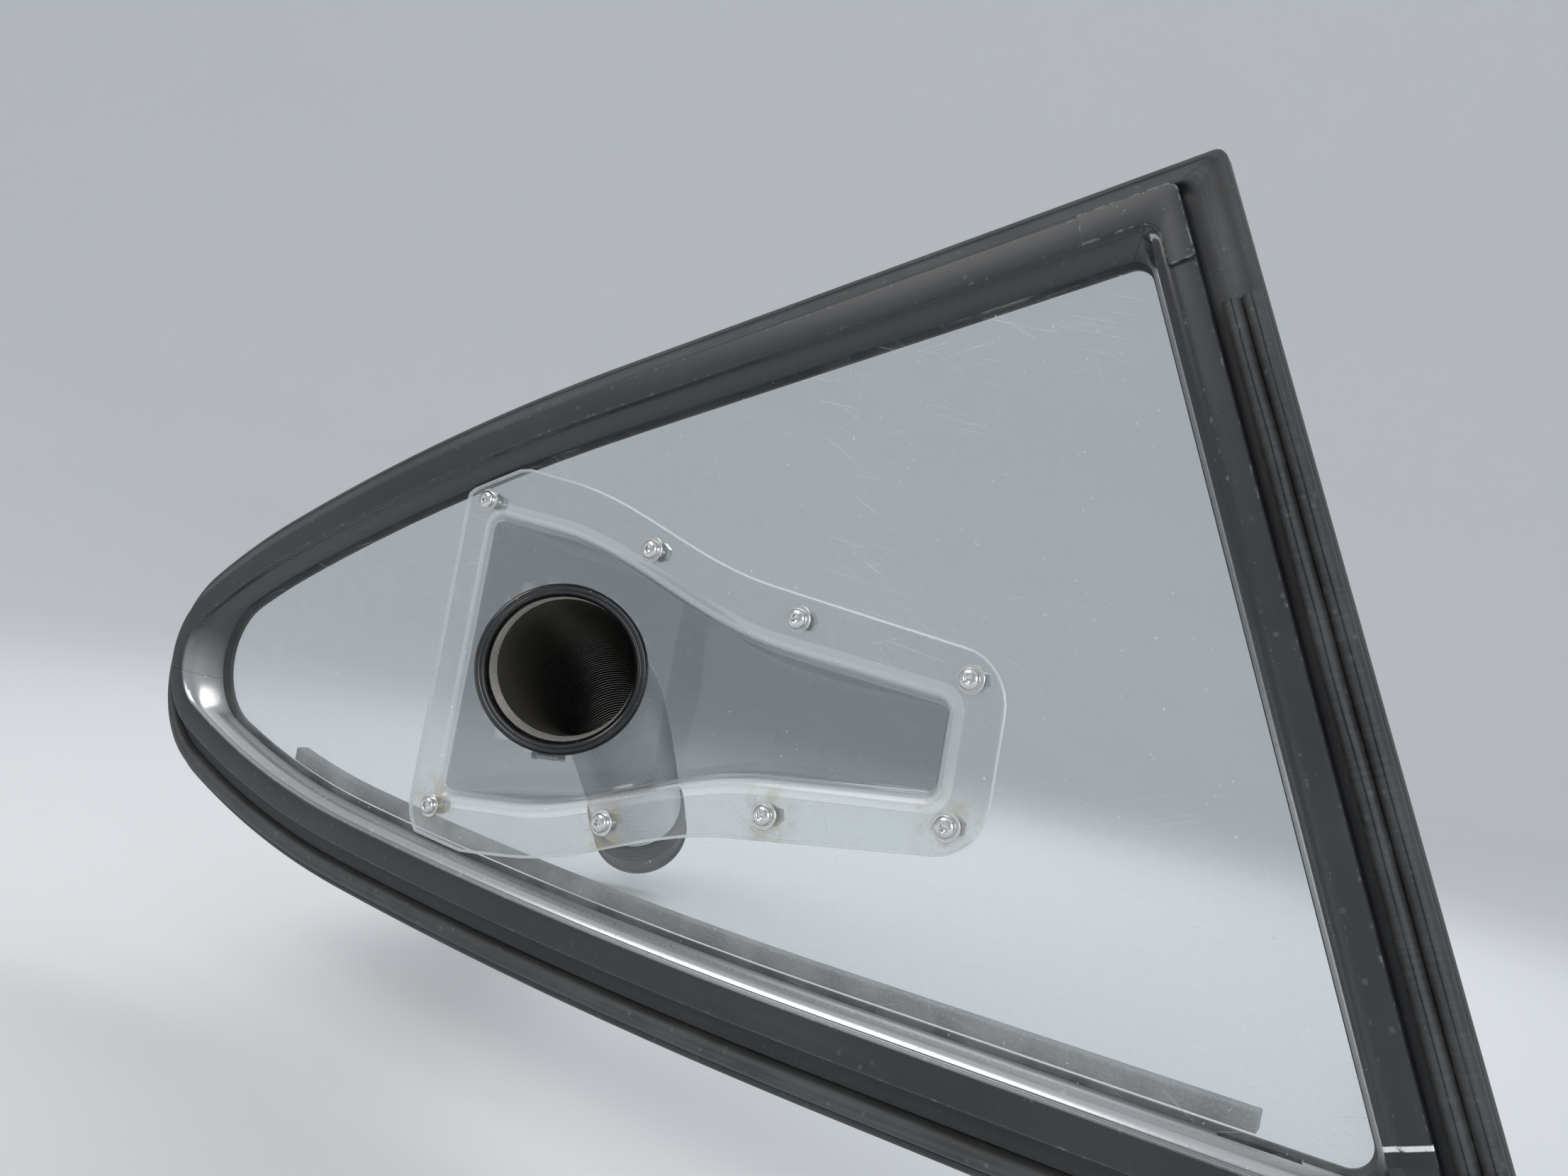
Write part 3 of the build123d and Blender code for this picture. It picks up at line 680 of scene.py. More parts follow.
class Board:
    """The nodes of one finish."""

    def __init__(self, name):
        self.material = bpy.data.materials.new(name)
        self.material.use_nodes = True
        self.tree = self.material.node_tree
        self.tree.nodes.clear()

    def node(self, kind, settings=None, values=None, out=0):
        node = self.tree.nodes.new(kind)
        for key, value in (settings or {}).items():
            setattr(node, key, value)
        for key, value in (values or {}).items():
            socket = node.inputs[key]
            if isinstance(value, Flow):
                self.tree.links.new(value.socket, socket)
            elif socket.type == "RGBA":
                socket.default_value = (*value[:3], 1.0)
            else:
                socket.default_value = value
        return Flow(self, node.outputs[out]) if node.outputs else None

    def place(self):
        return self.node("ShaderNodeTexCoord", out="Object")

    def profile(self):
        return self.node("ShaderNodeUVMap", {"uv_map": "profile"})

    def stretched(self, vector, sizes, rotation=(0, 0, 0)):
        """The vector turned, then divided by a size along each axis."""
        values = {"Vector": vector, "Scale": sizes, "Rotation": rotation}
        return self.node("ShaderNodeMapping", {"vector_type": "TEXTURE"}, values)

    def noise(self, vector, scale, detail=3.0, rough=0.55):
        values = {"Vector": vector, "Scale": scale, "Detail": detail, "Roughness": rough}
        return self.node("ShaderNodeTexNoise", {}, values)

    def cells(self, vector, scale, feature="F1", out="Distance"):
        return self.node("ShaderNodeTexVoronoi", {"feature": feature}, {"Vector": vector, "Scale": scale}, out)

    def waves(self, vector, scale, distortion=0.0, direction="X"):
        values = {"Vector": vector, "Scale": scale, "Distortion": distortion}
        return self.node("ShaderNodeTexWave", {"bands_direction": direction}, values)

    def marked(self, name):
        return self.node("ShaderNodeAttribute", {"attribute_name": name}, out="Fac")

    def distance(self, vector, point):
        return self.node("ShaderNodeVectorMath", {"operation": "DISTANCE"}, {0: vector, 1: point}, "Value")

    def along(self, vector, flat):
        """How far the vector reaches along a direction in the pane's plane."""
        values = {0: vector, 1: upright(flat)}
        return self.node("ShaderNodeVectorMath", {"operation": "DOT_PRODUCT"}, values, "Value")

    def height(self, vector):
        return self.node("ShaderNodeSeparateXYZ", {}, {"Vector": vector}, "Z")

    def blend(self, factor, first, second):
        return self.node("ShaderNodeMix", {"data_type": "RGBA"}, {0: factor, 6: first, 7: second}, 2)

    def specks(self, vector, scale, size, how_many):
        """Small round grains: how_many is the share of cells that hold one."""
        spot = self.cells(vector, scale)
        pick = self.cells(vector, scale, out="Color")
        chosen = self.node("ShaderNodeSeparateColor", {}, {"Color": pick}, 0)
        return spot.ramp(size, size * 0.5) * chosen.ramp(how_many, how_many * 0.9)

    def scratches(self, vector, turns, reach, width):
        """Thin lines of a length and width in metres that run several ways and fade in and out."""
        total = None
        for k, spin in enumerate(turns):
            run = self.stretched(vector, (reach, width, width), (0.0, spin, 0.0))
            mark = self.noise(run, 1.0 + k * 0.13, 1.0, 0.4).ramp(0.73, 0.78)
            total = mark if total is None else total.most(mark)
        return total * self.noise(vector, 7.0, 2.0).ramp(0.36, 0.6)

    def bump(self, height, distance, strength=1.0):
        values = {"Height": height, "Distance": distance, "Strength": strength}
        return self.node("ShaderNodeBump", {}, values)

    def surface(self, values):
        return self.node("ShaderNodeBsdfPrincipled", {}, values)

    def finish(self, shader):
        self.node("ShaderNodeOutputMaterial", {}, {"Surface": shader})
        return self.material


def colours():
    return bpy.context.scene.window_finish


def once(make):
    """A finish is made the first time that it is asked for."""
    name = make.__name__ + "_finish"
    found = bpy.data.materials.get(name)
    return found if found else make(Board(name))


def satin_trim(board):
    """Satin black with worn edges, dust and a glossy inner step. On the lower rail, where the step faces up, it is
    painted bright and metallic as a painted reflection of the sky.
    """
    place = board.place()
    wear = board.marked("wear")
    shine = board.marked("shine")
    edge = Edge()
    front = edge.front_spot(0).dot(edge.inward)
    clear_of_front = board.along(place, edge.inward).ramp((front + 36) * MM, (front + 60) * MM)
    # Painted reflection of the sky: away from the front, the inner step of the lower rail is coloured bright and
    # made metallic.
    painted_sky_sheen = shine * board.height(place).ramp(0.11, 0.07) * clear_of_front
    broad = board.noise(place, 14.0, 4.0, 0.6)
    fine = board.noise(place, 420.0, 3.0, 0.6)
    run = board.stretched(board.profile(), (0.14, 0.005, 1.0))
    drag = board.noise(run, 1.0, 3.0, 0.6)
    chips = (wear * board.noise(place, 260.0, 4.0, 0.7).ramp(0.5, 0.66)).ramp(0.2, 0.9)
    film = (broad.ramp(0.42, 0.75) * 0.35 + drag.ramp(0.5, 0.8) * 0.25) * (1 - shine * 0.6)
    grains = board.specks(place, 210.0, 0.28, 0.10) + board.specks(place, 470.0, 0.22, 0.12)
    dusty = (film * 0.35 + grains * 0.55).least(1.0)
    base = board.blend(chips * 0.75, colours().trim_black, colours().trim_worn)
    base = board.blend(dusty * 0.32, base, colours().dust)
    base = board.blend((shine - painted_sky_sheen) * 0.7, base, colours().gloss_black)
    base = board.blend(painted_sky_sheen * (0.65 + drag * 0.35), base, colours().bead)
    rough = 0.37 - shine * 0.16 + fine * 0.05 + dusty * 0.3 + chips * 0.15
    skin = fine * 0.5 + drag * 0.6 + grains * 0.7 - chips * 0.6
    return board.finish(
        board.surface(
            {
                "Base Color": base,
                "Metallic": painted_sky_sheen * 0.85,
                "Roughness": rough,
                "Coat Weight": shine * 0.55,
                "Coat Roughness": 0.08,
                "Specular IOR Level": 0.62,
                "Normal": board.bump(skin, 0.00006, 0.7),
            }
        )
    )


def satin_cap(board):
    """Satin black of the corner cap, with a bright worn lower edge."""
    place = board.place()
    wear = board.marked("wear")
    fine = board.noise(place, 500.0, 3.0, 0.6)
    broad = board.noise(place, 40.0, 3.0, 0.6)
    edge = Edge()
    corner = edge.top_corner(11.5, 18.4)
    rear_end = corner.dot(edge.roof_way) - edge.sizes.cap_along_roof
    low_end = corner.dot(edge.lean_way) - edge.sizes.cap_along_front
    ends = board.along(place, edge.roof_way).ramp((rear_end + 0.9) * MM, (rear_end + 0.3) * MM)
    ends = ends.most(board.along(place, edge.lean_way).ramp((low_end + 1.1) * MM, (low_end + 0.4) * MM))
    wear = wear.most(ends)
    chips = (wear * board.noise(place, 330.0, 4.0, 0.7).ramp(0.38, 0.58)).ramp(0.2, 0.85)
    grains = board.specks(place, 340.0, 0.25, 0.16)
    base = board.blend(chips * 0.8, colours().trim_black, colours().trim_worn)
    base = board.blend(grains * 0.35 + broad.ramp(0.5, 0.8) * 0.08, base, colours().dust)
    return board.finish(
        board.surface(
            {
                "Base Color": base,
                "Roughness": 0.3 + broad * 0.1 + chips * 0.2,
                "Specular IOR Level": 0.62,
                "Normal": board.bump(fine * 0.6 + grains * 0.6 - chips, 0.00006, 0.7),
            }
        )
    )


def dusty_rubber(board):
    """Grey-black rubber, lighter where its dust mark is high, with streaks along its length. On the gasket the
    mark peaks on the crowns and stays low in the grooves, so the lighter crowns are partly dust and partly a
    painted highlight.
    """
    place = board.place()
    dust = board.marked("dust")
    profile = board.profile()
    run = board.noise(board.stretched(profile, (0.11, 0.0016, 1.0)), 1.0, 4.0, 0.65)
    patch = board.noise(place, 26.0, 4.0, 0.6)
    fine = board.noise(place, 900.0, 3.0, 0.7)
    grains = board.specks(place, 260.0, 0.3, 0.2) + board.specks(place, 620.0, 0.25, 0.25)
    # On the gasket this lighter film sits on the crowns: partly dust, partly a painted highlight.
    film = dust * (0.25 + patch.ramp(0.35, 0.7) * 0.5 + run.ramp(0.4, 0.7) * 0.45)
    cover = (film * 0.55 + grains * dust * 0.5).least(1.0)
    cracks = board.cells(board.stretched(profile, (0.017, 0.0011, 1.0)), 1.0, "DISTANCE_TO_EDGE").ramp(0.0, 0.09)
    base = board.blend(cover * 0.5, colours().rubber, colours().dust)
    return board.finish(
        board.surface(
            {
                "Base Color": base,
                "Roughness": 0.42 + patch * 0.12 + cover * 0.3,
                "Specular IOR Level": 0.55,
                "Normal": board.bump(fine * 0.4 + run * 0.7 + cracks * 0.25 + grains * 0.3, 0.00009, 0.8),
            }
        )
    )


def matt_rubber(board):
    """Plain matt rubber of the bedding seal."""
    place = board.place()
    fine = board.noise(place, 700.0, 3.0, 0.6)
    patch = board.noise(place, 30.0, 3.0, 0.6)
    base = board.blend(patch.ramp(0.4, 0.8) * 0.2, colours().rubber, colours().dust)
    return board.finish(
        board.surface(
            {
                "Base Color": base,
                "Roughness": 0.7 + patch * 0.15,
                "Normal": board.bump(fine, 0.00008, 0.8),
            }
        )
    )


def grained_vinyl(board):
    """Grey vinyl with a leather grain."""
    place = board.place()
    warp = board.noise(place, 260.0, 2.0, 0.5)
    pebble = board.cells(place, 460.0, "DISTANCE_TO_EDGE")
    grain = pebble.ramp(0.0, 0.16) + warp * 0.4
    patch = board.noise(place, 22.0, 4.0, 0.6)
    dust = patch.ramp(0.4, 0.75) * 0.3 + (1 - pebble.ramp(0.0, 0.1)) * 0.25
    base = board.blend(dust, colours().vinyl, colours().dust)
    return board.finish(
        board.surface(
            {
                "Base Color": base,
                "Roughness": 0.5 + patch * 0.15,
                "Normal": board.bump(grain, 0.00028, 0.9),
            }
        )
    )


def clear_sheet(board, tint, recess_tint, haze, moulded):
    """Clear plastic sheet: see-through, with haze, scratches and dust, and a gloss from both sides."""
    place = board.place()
    cloud = board.noise(place, 7.0, 4.0, 0.6)
    rub = board.noise(board.stretched(place, (0.12, 0.02, 0.016), (0.0, 0.35, 0.0)), 1.0, 4.0, 0.65)
    lines = board.scratches(place, (0.15, 0.5, -0.35, 1.2), 0.05, 0.0007)
    grains = board.specks(place, 130.0, 0.085, 0.22) + board.specks(place, 420.0, 0.16, 0.08)
    edge = board.marked("edge")
    recess = board.marked("recess")
    facing = board.node("ShaderNodeLayerWeight", {}, {"Blend": 0.5}, "Facing")
    veil = haze * (0.4 + cloud.ramp(0.4, 0.8) + rub.ramp(0.5, 0.8) * 2.0)
    veil = veil + lines * 0.22 + grains * 0.5 + low_edge_dust(board, place) * 0.15
    veil_colour = (0.80, 0.81, 0.82)
    if moulded:
        rings = None
        for spot in lower_screw_spots():
            near = board.distance(place, spot).ramp(0.021, 0.007)
            rings = near if rings is None else rings.most(near)
        blotch = rings * board.noise(place, 110.0, 4.0, 0.65).ramp(0.38, 0.66)
        # The edge mark whitens the flange's outer edge, and on the rolled lip it adds two rings that are painted
        # highlights.
        veil = veil + blotch * 0.3 + (1 - recess) * 0.07 + edge * 0.5
        veil_colour = board.blend(blotch, veil_colour, colours().stain)
        # Painted shade: the recess takes a darker see-through tint than the flange.
        tint = board.blend(recess, tint, recess_tint)
    veil = veil + facing**4.0 * 0.1
    glass = board.node("ShaderNodeBsdfTransparent", {}, {"Color": tint})
    fine = board.noise(place, 60.0, 2.0, 0.5)
    ripple = board.bump(fine + lines * 0.4, 0.0002, 0.25)
    bloom = board.surface(
        {"Base Color": veil_colour, "Roughness": 0.6, "Specular IOR Level": 0.2, "Normal": ripple}
    )
    gloss = board.surface(
        {"Base Color": (1.0, 1.0, 1.0), "Metallic": 1.0, "Roughness": 0.035, "Normal": ripple}
    )
    body = board.node("ShaderNodeMixShader", {}, {0: veil.least(1.0), 1: glass, 2: bloom})
    mirror = 0.04 + 0.96 * facing**5.0
    return board.finish(board.node("ShaderNodeMixShader", {}, {0: mirror, 1: body, 2: gloss}))


def low_edge_dust(board, place):
    """Dust that lies along the lower edge and thins out over a few centimetres."""
    edge = Edge()
    middle = placed(edge.sill.x, 6.0, edge.sill.y)
    depth = edge.sizes.sill_radius * MM - board.distance(place, middle)
    patch = board.noise(place, 45.0, 4.0, 0.65).ramp(0.35, 0.7, 0.3, 1.0)
    return depth.ramp(0.080, 0.040) * patch


def clear_pane(board):
    return clear_sheet(board, colours().clear_tint, colours().clear_tint, 0.012, False)


def clear_moulding(board):
    return clear_sheet(board, colours().clear_tint, colours().recess_tint, 0.014, True)


def cut_edge(board):
    """Bright milky cut edge of the moulding."""
    place = board.place()
    saw = board.noise(board.stretched(place, (0.002, 0.016, 0.002)), 1.0, 3.0, 0.6)
    glass = board.node("ShaderNodeBsdfTransparent", {}, {"Color": (0.86, 0.9, 0.9)})
    bloom = board.surface(
        {
            "Base Color": (0.80, 0.83, 0.84),
            "Roughness": 0.3,
            "Normal": board.bump(saw, 0.0001, 0.6),
        }
    )
    veil = 0.5 + saw * 0.35
    return board.finish(board.node("ShaderNodeMixShader", {}, {0: veil, 1: glass, 2: bloom}))


def gloss_plastic(board):
    """Gloss black plastic with fine scuffs and dust; its bore takes the lining's colour and its grooves are
    darkened as painted shade.
    """
    place = board.place()
    fine = board.noise(place, 300.0, 3.0, 0.6)
    scuffs = board.noise(board.stretched(place, (0.025, 0.0033, 0.0033)), 1.0, 3.0, 0.6).ramp(0.55, 0.75)
    grains = board.specks(place, 330.0, 0.25, 0.16)
    bore = board.marked("bore")
    base = board.blend(grains * 0.4 + scuffs * 0.06, colours().gloss_black, colours().dust)
    base = board.blend(bore, base, colours().lining)
    # Painted shade: the grooves of the bore are blended towards black.
    base = board.blend(board.marked("groove"), base, colours().gloss_black)
    return board.finish(
        board.surface(
            {
                "Base Color": base,
                "Metallic": bore * 0.7,
                "Roughness": 0.16 + scuffs * 0.14 + grains * 0.3 + bore * 0.1,
                "Specular IOR Level": 0.7,
                "Normal": board.bump(fine * 0.4 + grains * 0.5, 0.00005, 0.6),
            }
        )
    )


def duct_foil(board):
    """Dull silver foil with creases; it is darkened in the valleys between its ribs as painted shade."""
    place = board.place()
    crease = board.noise(place, 120.0, 4.0, 0.7)
    patch = board.noise(place, 18.0, 4.0, 0.6)
    grime = patch.ramp(0.5, 0.8)
    base = board.blend(grime * 0.35, colours().foil, (0.42, 0.41, 0.39))
    # Painted shade: the valleys between the ribs are blended towards black.
    valley_shade = (1 - board.marked("groove")).ramp(0.35, 0.9)
    base = board.blend(valley_shade * 0.8, base, colours().gloss_black)
    return board.finish(
        board.surface(
            {
                "Base Color": base,
                "Metallic": 1.0 - grime * 0.3,
                "Roughness": 0.30 + crease * 0.16 + grime * 0.15,
                "Normal": board.bump(crease, 0.0004, 0.7),
            }
        )
    )


def duct_lining(board):
    """Lining inside the hose, with a brownish glint; it is darkened in its grooves as painted shade."""
    place = board.place()
    crease = board.noise(place, 150.0, 4.0, 0.7)
    patch = board.noise(place, 25.0, 4.0, 0.6)
    base = board.blend(patch.ramp(0.45, 0.8) * 0.3, colours().lining, colours().dust)
    # Painted shade: the grooves of the lining are blended towards black.
    base = board.blend(board.marked("groove"), base, colours().gloss_black)
    return board.finish(
        board.surface(
            {
                "Base Color": base,
                "Metallic": 0.6,
                "Roughness": 0.24 + crease * 0.15,
                "Normal": board.bump(crease, 0.0003, 0.6),
            }
        )
    )


def bright_steel(board, base, rough):
    """Steel with fine turning marks and a little grime."""
    place = board.place()
    fine = board.noise(place, 1500.0, 3.0, 0.6)
    patch = board.noise(place, 260.0, 4.0, 0.65)
    grime = patch.ramp(0.52, 0.75)
    tone = board.blend(grime * 0.45, base, (0.30, 0.27, 0.22))
    return board.finish(
        board.surface(
            {
                "Base Color": tone,
                "Metallic": 1.0 - grime * 0.2,
                "Roughness": rough + grime * 0.2,
                "Normal": board.bump(fine, 0.00002, 0.5),
            }
        )
    )


def polished_steel(board):
    return bright_steel(board, colours().steel, 0.12)


def plain_steel(board):
    return bright_steel(board, colours().steel, 0.26)


def zinc_steel(board):
    return bright_steel(board, (0.56, 0.56, 0.55), 0.34)


def clip_steel(board):
    """Thin clip, black on its face and bright along its upper edge."""
    place = board.place()
    edge = Edge()
    joint = edge.front_at(edge.sizes.joint_z).dot(edge.lean_way)
    bright = board.along(place, edge.lean_way).ramp((joint + 1.3) * MM, (joint + 1.7) * MM)
    bright = bright * board.noise(place, 300.0, 3.0, 0.6).ramp(0.25, 0.45)
    return board.finish(
        board.surface(
            {
                "Base Color": board.blend(bright, colours().trim_black, (0.80, 0.81, 0.80)),
                "Metallic": bright * 0.4,
                "Roughness": 0.4 - bright * 0.08,
            }
        )
    )


def lower_screw_spots():
    scoop = Scoop()
    spots = []
    for s, w in screw_places():
        if w < 0:
            spots.append(scoop.spot(s, w, scoop.sizes.face))
    return spots


# Profiles of the pieces that run round the window.
# Columns: top inset and height, low inset and height, front inset and height, tip inset, then marks.

# The last column, dust, lightens the crowns most and the grooves least: partly dust, partly a painted highlight on
# the crowns.
GASKET_PROFILE = (
    (0.0, 0.0, 0.0, 0.0, 0.0, 0.0, 0.0, 0.3),
    (0.0, 6.0, 0.0, 6.0, 0.0, 6.0, 0.0, 0.4),
    (0.3, 8.2, 0.3, 7.9, 0.3, 8.2, 0.3, 0.6),
    (1.3, 9.0, 1.3, 8.8, 0.8, 9.0, 1.2, 0.8),
    (2.4, 9.5, 3.0, 8.8, 2.0, 9.0, 2.3, 0.6),
    (3.0, 9.3, 3.6, 8.0, 4.0, 9.0, 2.9, 0.2),
    (3.6, 9.9, 4.0, 9.8, 5.0, 9.0, 3.5, 0.3),
    (4.6, 10.6, 4.6, 12.2, 6.0, 9.0, 4.4, 0.6),
    (5.6, 11.1, 5.9, 13.7, 7.0, 9.0, 5.4, 0.9),
    (6.8, 11.7, 7.4, 14.2, 8.0, 9.0, 6.5, 1.0),
    (8.0, 12.3, 9.3, 14.2, 10.0, 9.0, 7.6, 1.0),
    (9.0, 12.8, 11.2, 13.8, 11.0, 9.0, 8.6, 0.8),
    (10.0, 13.2, 12.6, 12.3, 12.0, 9.0, 9.5, 0.5),
    (10.6, 13.5, 13.3, 10.6, 13.0, 9.0, 10.1, 0.3),
    (11.0, 13.3, 13.7, 8.9, 14.0, 9.0, 10.5, 0.1),
    (11.2, 12.4, 14.3, 9.6, 15.0, 9.0, 10.65, 0.1),
    (11.4, 11.0, 18.0, 9.5, 16.0, 9.0, 10.75, 0.3),
    (11.5, 9.0, 22.6, 9.6, 17.5, 9.0, 10.8, 0.3),
    (11.5, 7.0, 23.0, 8.6, 18.4, 8.6, 10.8, 0.1),
    (11.5, 2.0, 23.0, 2.0, 18.4, 2.0, 10.8, 0.0),
    (19.5, 2.0, 31.0, 2.0, 26.4, 2.0, 18.8, 0.0),
    (19.5, 0.0, 31.0, 0.0, 26.4, 0.0, 18.8, 0.0),
)

TRIM_PROFILE = (
    (11.5, 6.0, 23.0, 6.0, 18.4, 6.0, 10.8, 0.0, 0.2),
    (11.5, 15.2, 23.0, 15.2, 18.4, 15.4, 10.8, 0.3, 0.2),
    (11.9, 15.9, 23.4, 15.9, 18.8, 15.9, 11.2, 1.0, 0.1),
    (12.6, 16.0, 24.1, 16.0, 19.4, 16.0, 11.9, 0.4, 0.0),
    (17.0, 16.0, 29.0, 16.0, 22.5, 16.0, 16.0, 0.0, 0.0),
    (22.8, 16.0, 35.6, 16.0, 26.2, 16.0, 21.0, 0.3, 0.0),
    (23.6, 15.8, 36.3, 15.7, 27.2, 15.6, 21.8, 1.0, 0.3),
    (24.0, 15.4, 36.6, 15.3, 28.0, 15.3, 22.2, 0.4, 0.8),
    (24.2, 14.9, 36.9, 15.0, 28.8, 15.15, 22.8, 0.1, 1.0),
    (24.4, 14.3, 37.2, 15.25, 29.6, 15.15, 23.4, 0.0, 1.0),
    (24.6, 13.7, 37.5, 14.95, 30.3, 15.25, 24.2, 0.0, 1.0),
    (24.9, 12.9, 37.8, 15.25, 30.9, 15.5, 25.4, 0.0, 1.0),
    (25.4, 12.2, 38.3, 15.45, 31.6, 15.7, 27.0, 0.2, 1.0),
    (27.0, 10.8, 39.5, 14.8, 32.3, 15.3, 31.0, 0.2, 1.0),
    (28.8, 9.8, 41.0, 13.2, 32.9, 13.2, 35.0, 0.0, 1.0),
    (30.4, 8.4, 42.3, 11.0, 33.6, 10.8, 39.5, 0.0, 0.8),
    (31.5, 7.2, 43.2, 8.4, 34.6, 8.4, 44.0, 0.0, 0.6),
    (32.0, 6.05, 43.5, 6.05, 35.4, 6.05, 46.8, 0.0, 0.3),
)

CAP_PROFILE = (
    (11.3, 16.02, 22.8, 16.02, 18.1, 16.02, 10.6, 0.3),
    (11.3, 17.0, 22.8, 17.0, 18.1, 17.0, 10.6, 0.6),
    (11.7, 17.3, 23.2, 17.3, 18.4, 17.3, 11.0, 1.0),
    (12.4, 17.38, 24.0, 17.38, 19.0, 17.38, 11.6, 0.3),
    (17.0, 17.38, 29.0, 17.38, 22.0, 17.38, 16.0, 0.0),
    (23.0, 17.36, 35.6, 17.36, 27.2, 17.3, 21.0, 0.1),
    (23.8, 17.2, 36.4, 17.2, 28.0, 16.9, 21.8, 1.0),
    (24.1, 16.8, 36.7, 16.8, 28.3, 16.5, 22.1, 0.6),
    (24.2, 16.02, 36.8, 16.02, 28.4, 16.02, 22.2, 0.3),
)

CLIP_PROFILE = (
    (11.3, 15.2, 22.8, 15.2, 18.2, 15.2, 10.6, 0.3),
    (11.3, 16.6, 22.8, 16.6, 18.2, 16.6, 10.6, 0.8),
    (11.7, 16.8, 23.2, 16.8, 18.6, 16.8, 11.0, 1.0),
    (17.0, 16.8, 29.0, 16.8, 22.5, 16.8, 16.0, 0.2),
    (22.8, 16.8, 35.6, 16.8, 26.4, 16.8, 21.0, 0.2),
    (23.8, 16.5, 36.4, 16.5, 27.6, 16.4, 21.8, 0.5),
    (24.2, 16.1, 36.8, 16.1, 29.0, 15.95, 22.2, 0.5),
    (24.6, 16.0, 37.2, 16.0, 30.6, 16.1, 22.6, 0.2),
    (25.0, 16.0, 37.6, 16.0, 31.7, 16.3, 23.0, 0.5),
    (25.4, 15.9, 38.0, 15.9, 32.2, 16.0, 23.4, 0.5),
    (25.6, 15.2, 38.2, 15.2, 32.3, 15.2, 23.6, 0.0),
)

# Ribbed strip in section: inset from the front edge and height. Each rib has a fold beside its crown.
STRIP_SECTION = (
    (0.8, 9.05),
    (0.8, 12.0),
    (1.15, 13.3),
    (1.9, 14.4),
    (2.9, 15.05),
    (3.7, 15.1),
    (4.1, 14.6),
    (4.5, 15.0),
    (5.4, 14.8),
    (6.5, 13.9),
    (7.3, 12.7),
    (7.7, 11.4),
    (8.1, 12.7),
    (8.8, 14.1),
    (9.8, 15.0),
    (10.7, 15.1),
    (11.1, 14.6),
    (11.5, 15.0),
    (12.4, 14.8),
    (13.5, 14.0),
    (14.3, 12.9),
    (14.6, 11.8),
    (14.6, 9.05),
    (7.7, 9.05),
)
STRIP_DUST = (0.2, 0.3, 0.5, 0.8, 0.9, 0.6, 0.1, 0.6, 0.8, 0.5, 0.3, 0.9)
STRIP_STEPS = 46

# Ledge in section: inset from the lower edge and height, a rounded rectangle
LEDGE_SECTION = (
    (45.5, 1.0),
    (45.7, 1.6),
    (46.3, 1.9),
    (49.0, 1.9),
    (51.7, 1.9),
    (52.3, 1.5),
    (52.5, 0.8),
    (52.5, -2.0),
    (52.5, -5.2),
    (52.2, -5.8),
    (51.6, -6.0),
    (49.0, -6.0),
    (46.4, -6.0),
    (45.8, -5.8),
    (45.5, -5.2),
    (45.5, -2.0),
)
LEDGE_STEPS = 44


class QUARTER_WINDOW_OT_gasket(bpy.types.Operator):
    """Model the rubber gasket that seats on the body"""

    bl_idname = "quarter_window.gasket"
    bl_label = "Body gasket"

    def execute(self, context):
        piece = Edge().skin("edge_gasket", GASKET_PROFILE, ("dust",))
        settle(piece, ["body_gasket"], [once(dusty_rubber)])
        return {"FINISHED"}


class QUARTER_WINDOW_OT_trim(bpy.types.Operator):
    """Model the black trim in its three lengths, mitred at the top and jointed at the foot"""

    bl_idname = "quarter_window.trim"
    bl_label = "Black trim"

    mitre_guard = 38.0
    joint_guard = 290.0

    def execute(self, context):
        edge = Edge()
        sizes = edge.sizes
        outer_top = edge.top_corner(11.5, 18.4)
        inner_top = edge.top_corner(24.0, 32.1)
        mitre = (outer_top - inner_top).normalized()
        ahead = upright(Vector((mitre.y, -mitre.x)))
        along = upright(edge.lean_way)
        up = Vector((0, 0, 1))
        half = sizes.seam / 2
        corner = upright(inner_top)
        foot = upright(edge.front_at(sizes.joint_z))
        split = Vector((edge.nose.x, 0, sizes.nose_split_z))
        guard = Vector((0, 0, self.mitre_guard))

        def at_joint(centre):
            return centre.x > self.joint_guard * MM

        lengths = {
            ("upper_rail", "trim_upper"): (
                (corner - ahead * half, ahead, None),
                (split + up * half, -up, None),
            ),
            ("lower_rail", "trim_lower"): (
                (split - up * half, up, None),
                (foot - along * half, along, at_joint),
            ),
            ("front_upright", "trim_upright"): (
                (corner + ahead * half, -ahead, None),
                (guard, -up, None),
                (foot + along * half, -along, None),
            ),
        }
        blank = edge.skin("trim_blank", TRIM_PROFILE, ("wear", "shine"))
        for (name, node), cuts in lengths.items():
            piece = twin(blank, name)
            for point, away, near in cuts:
                cut_away(piece, point * MM, away, near)
            smooth(piece)
            settle(piece, [node], [once(satin_trim)])
        discard(blank)
        return {"FINISHED"}


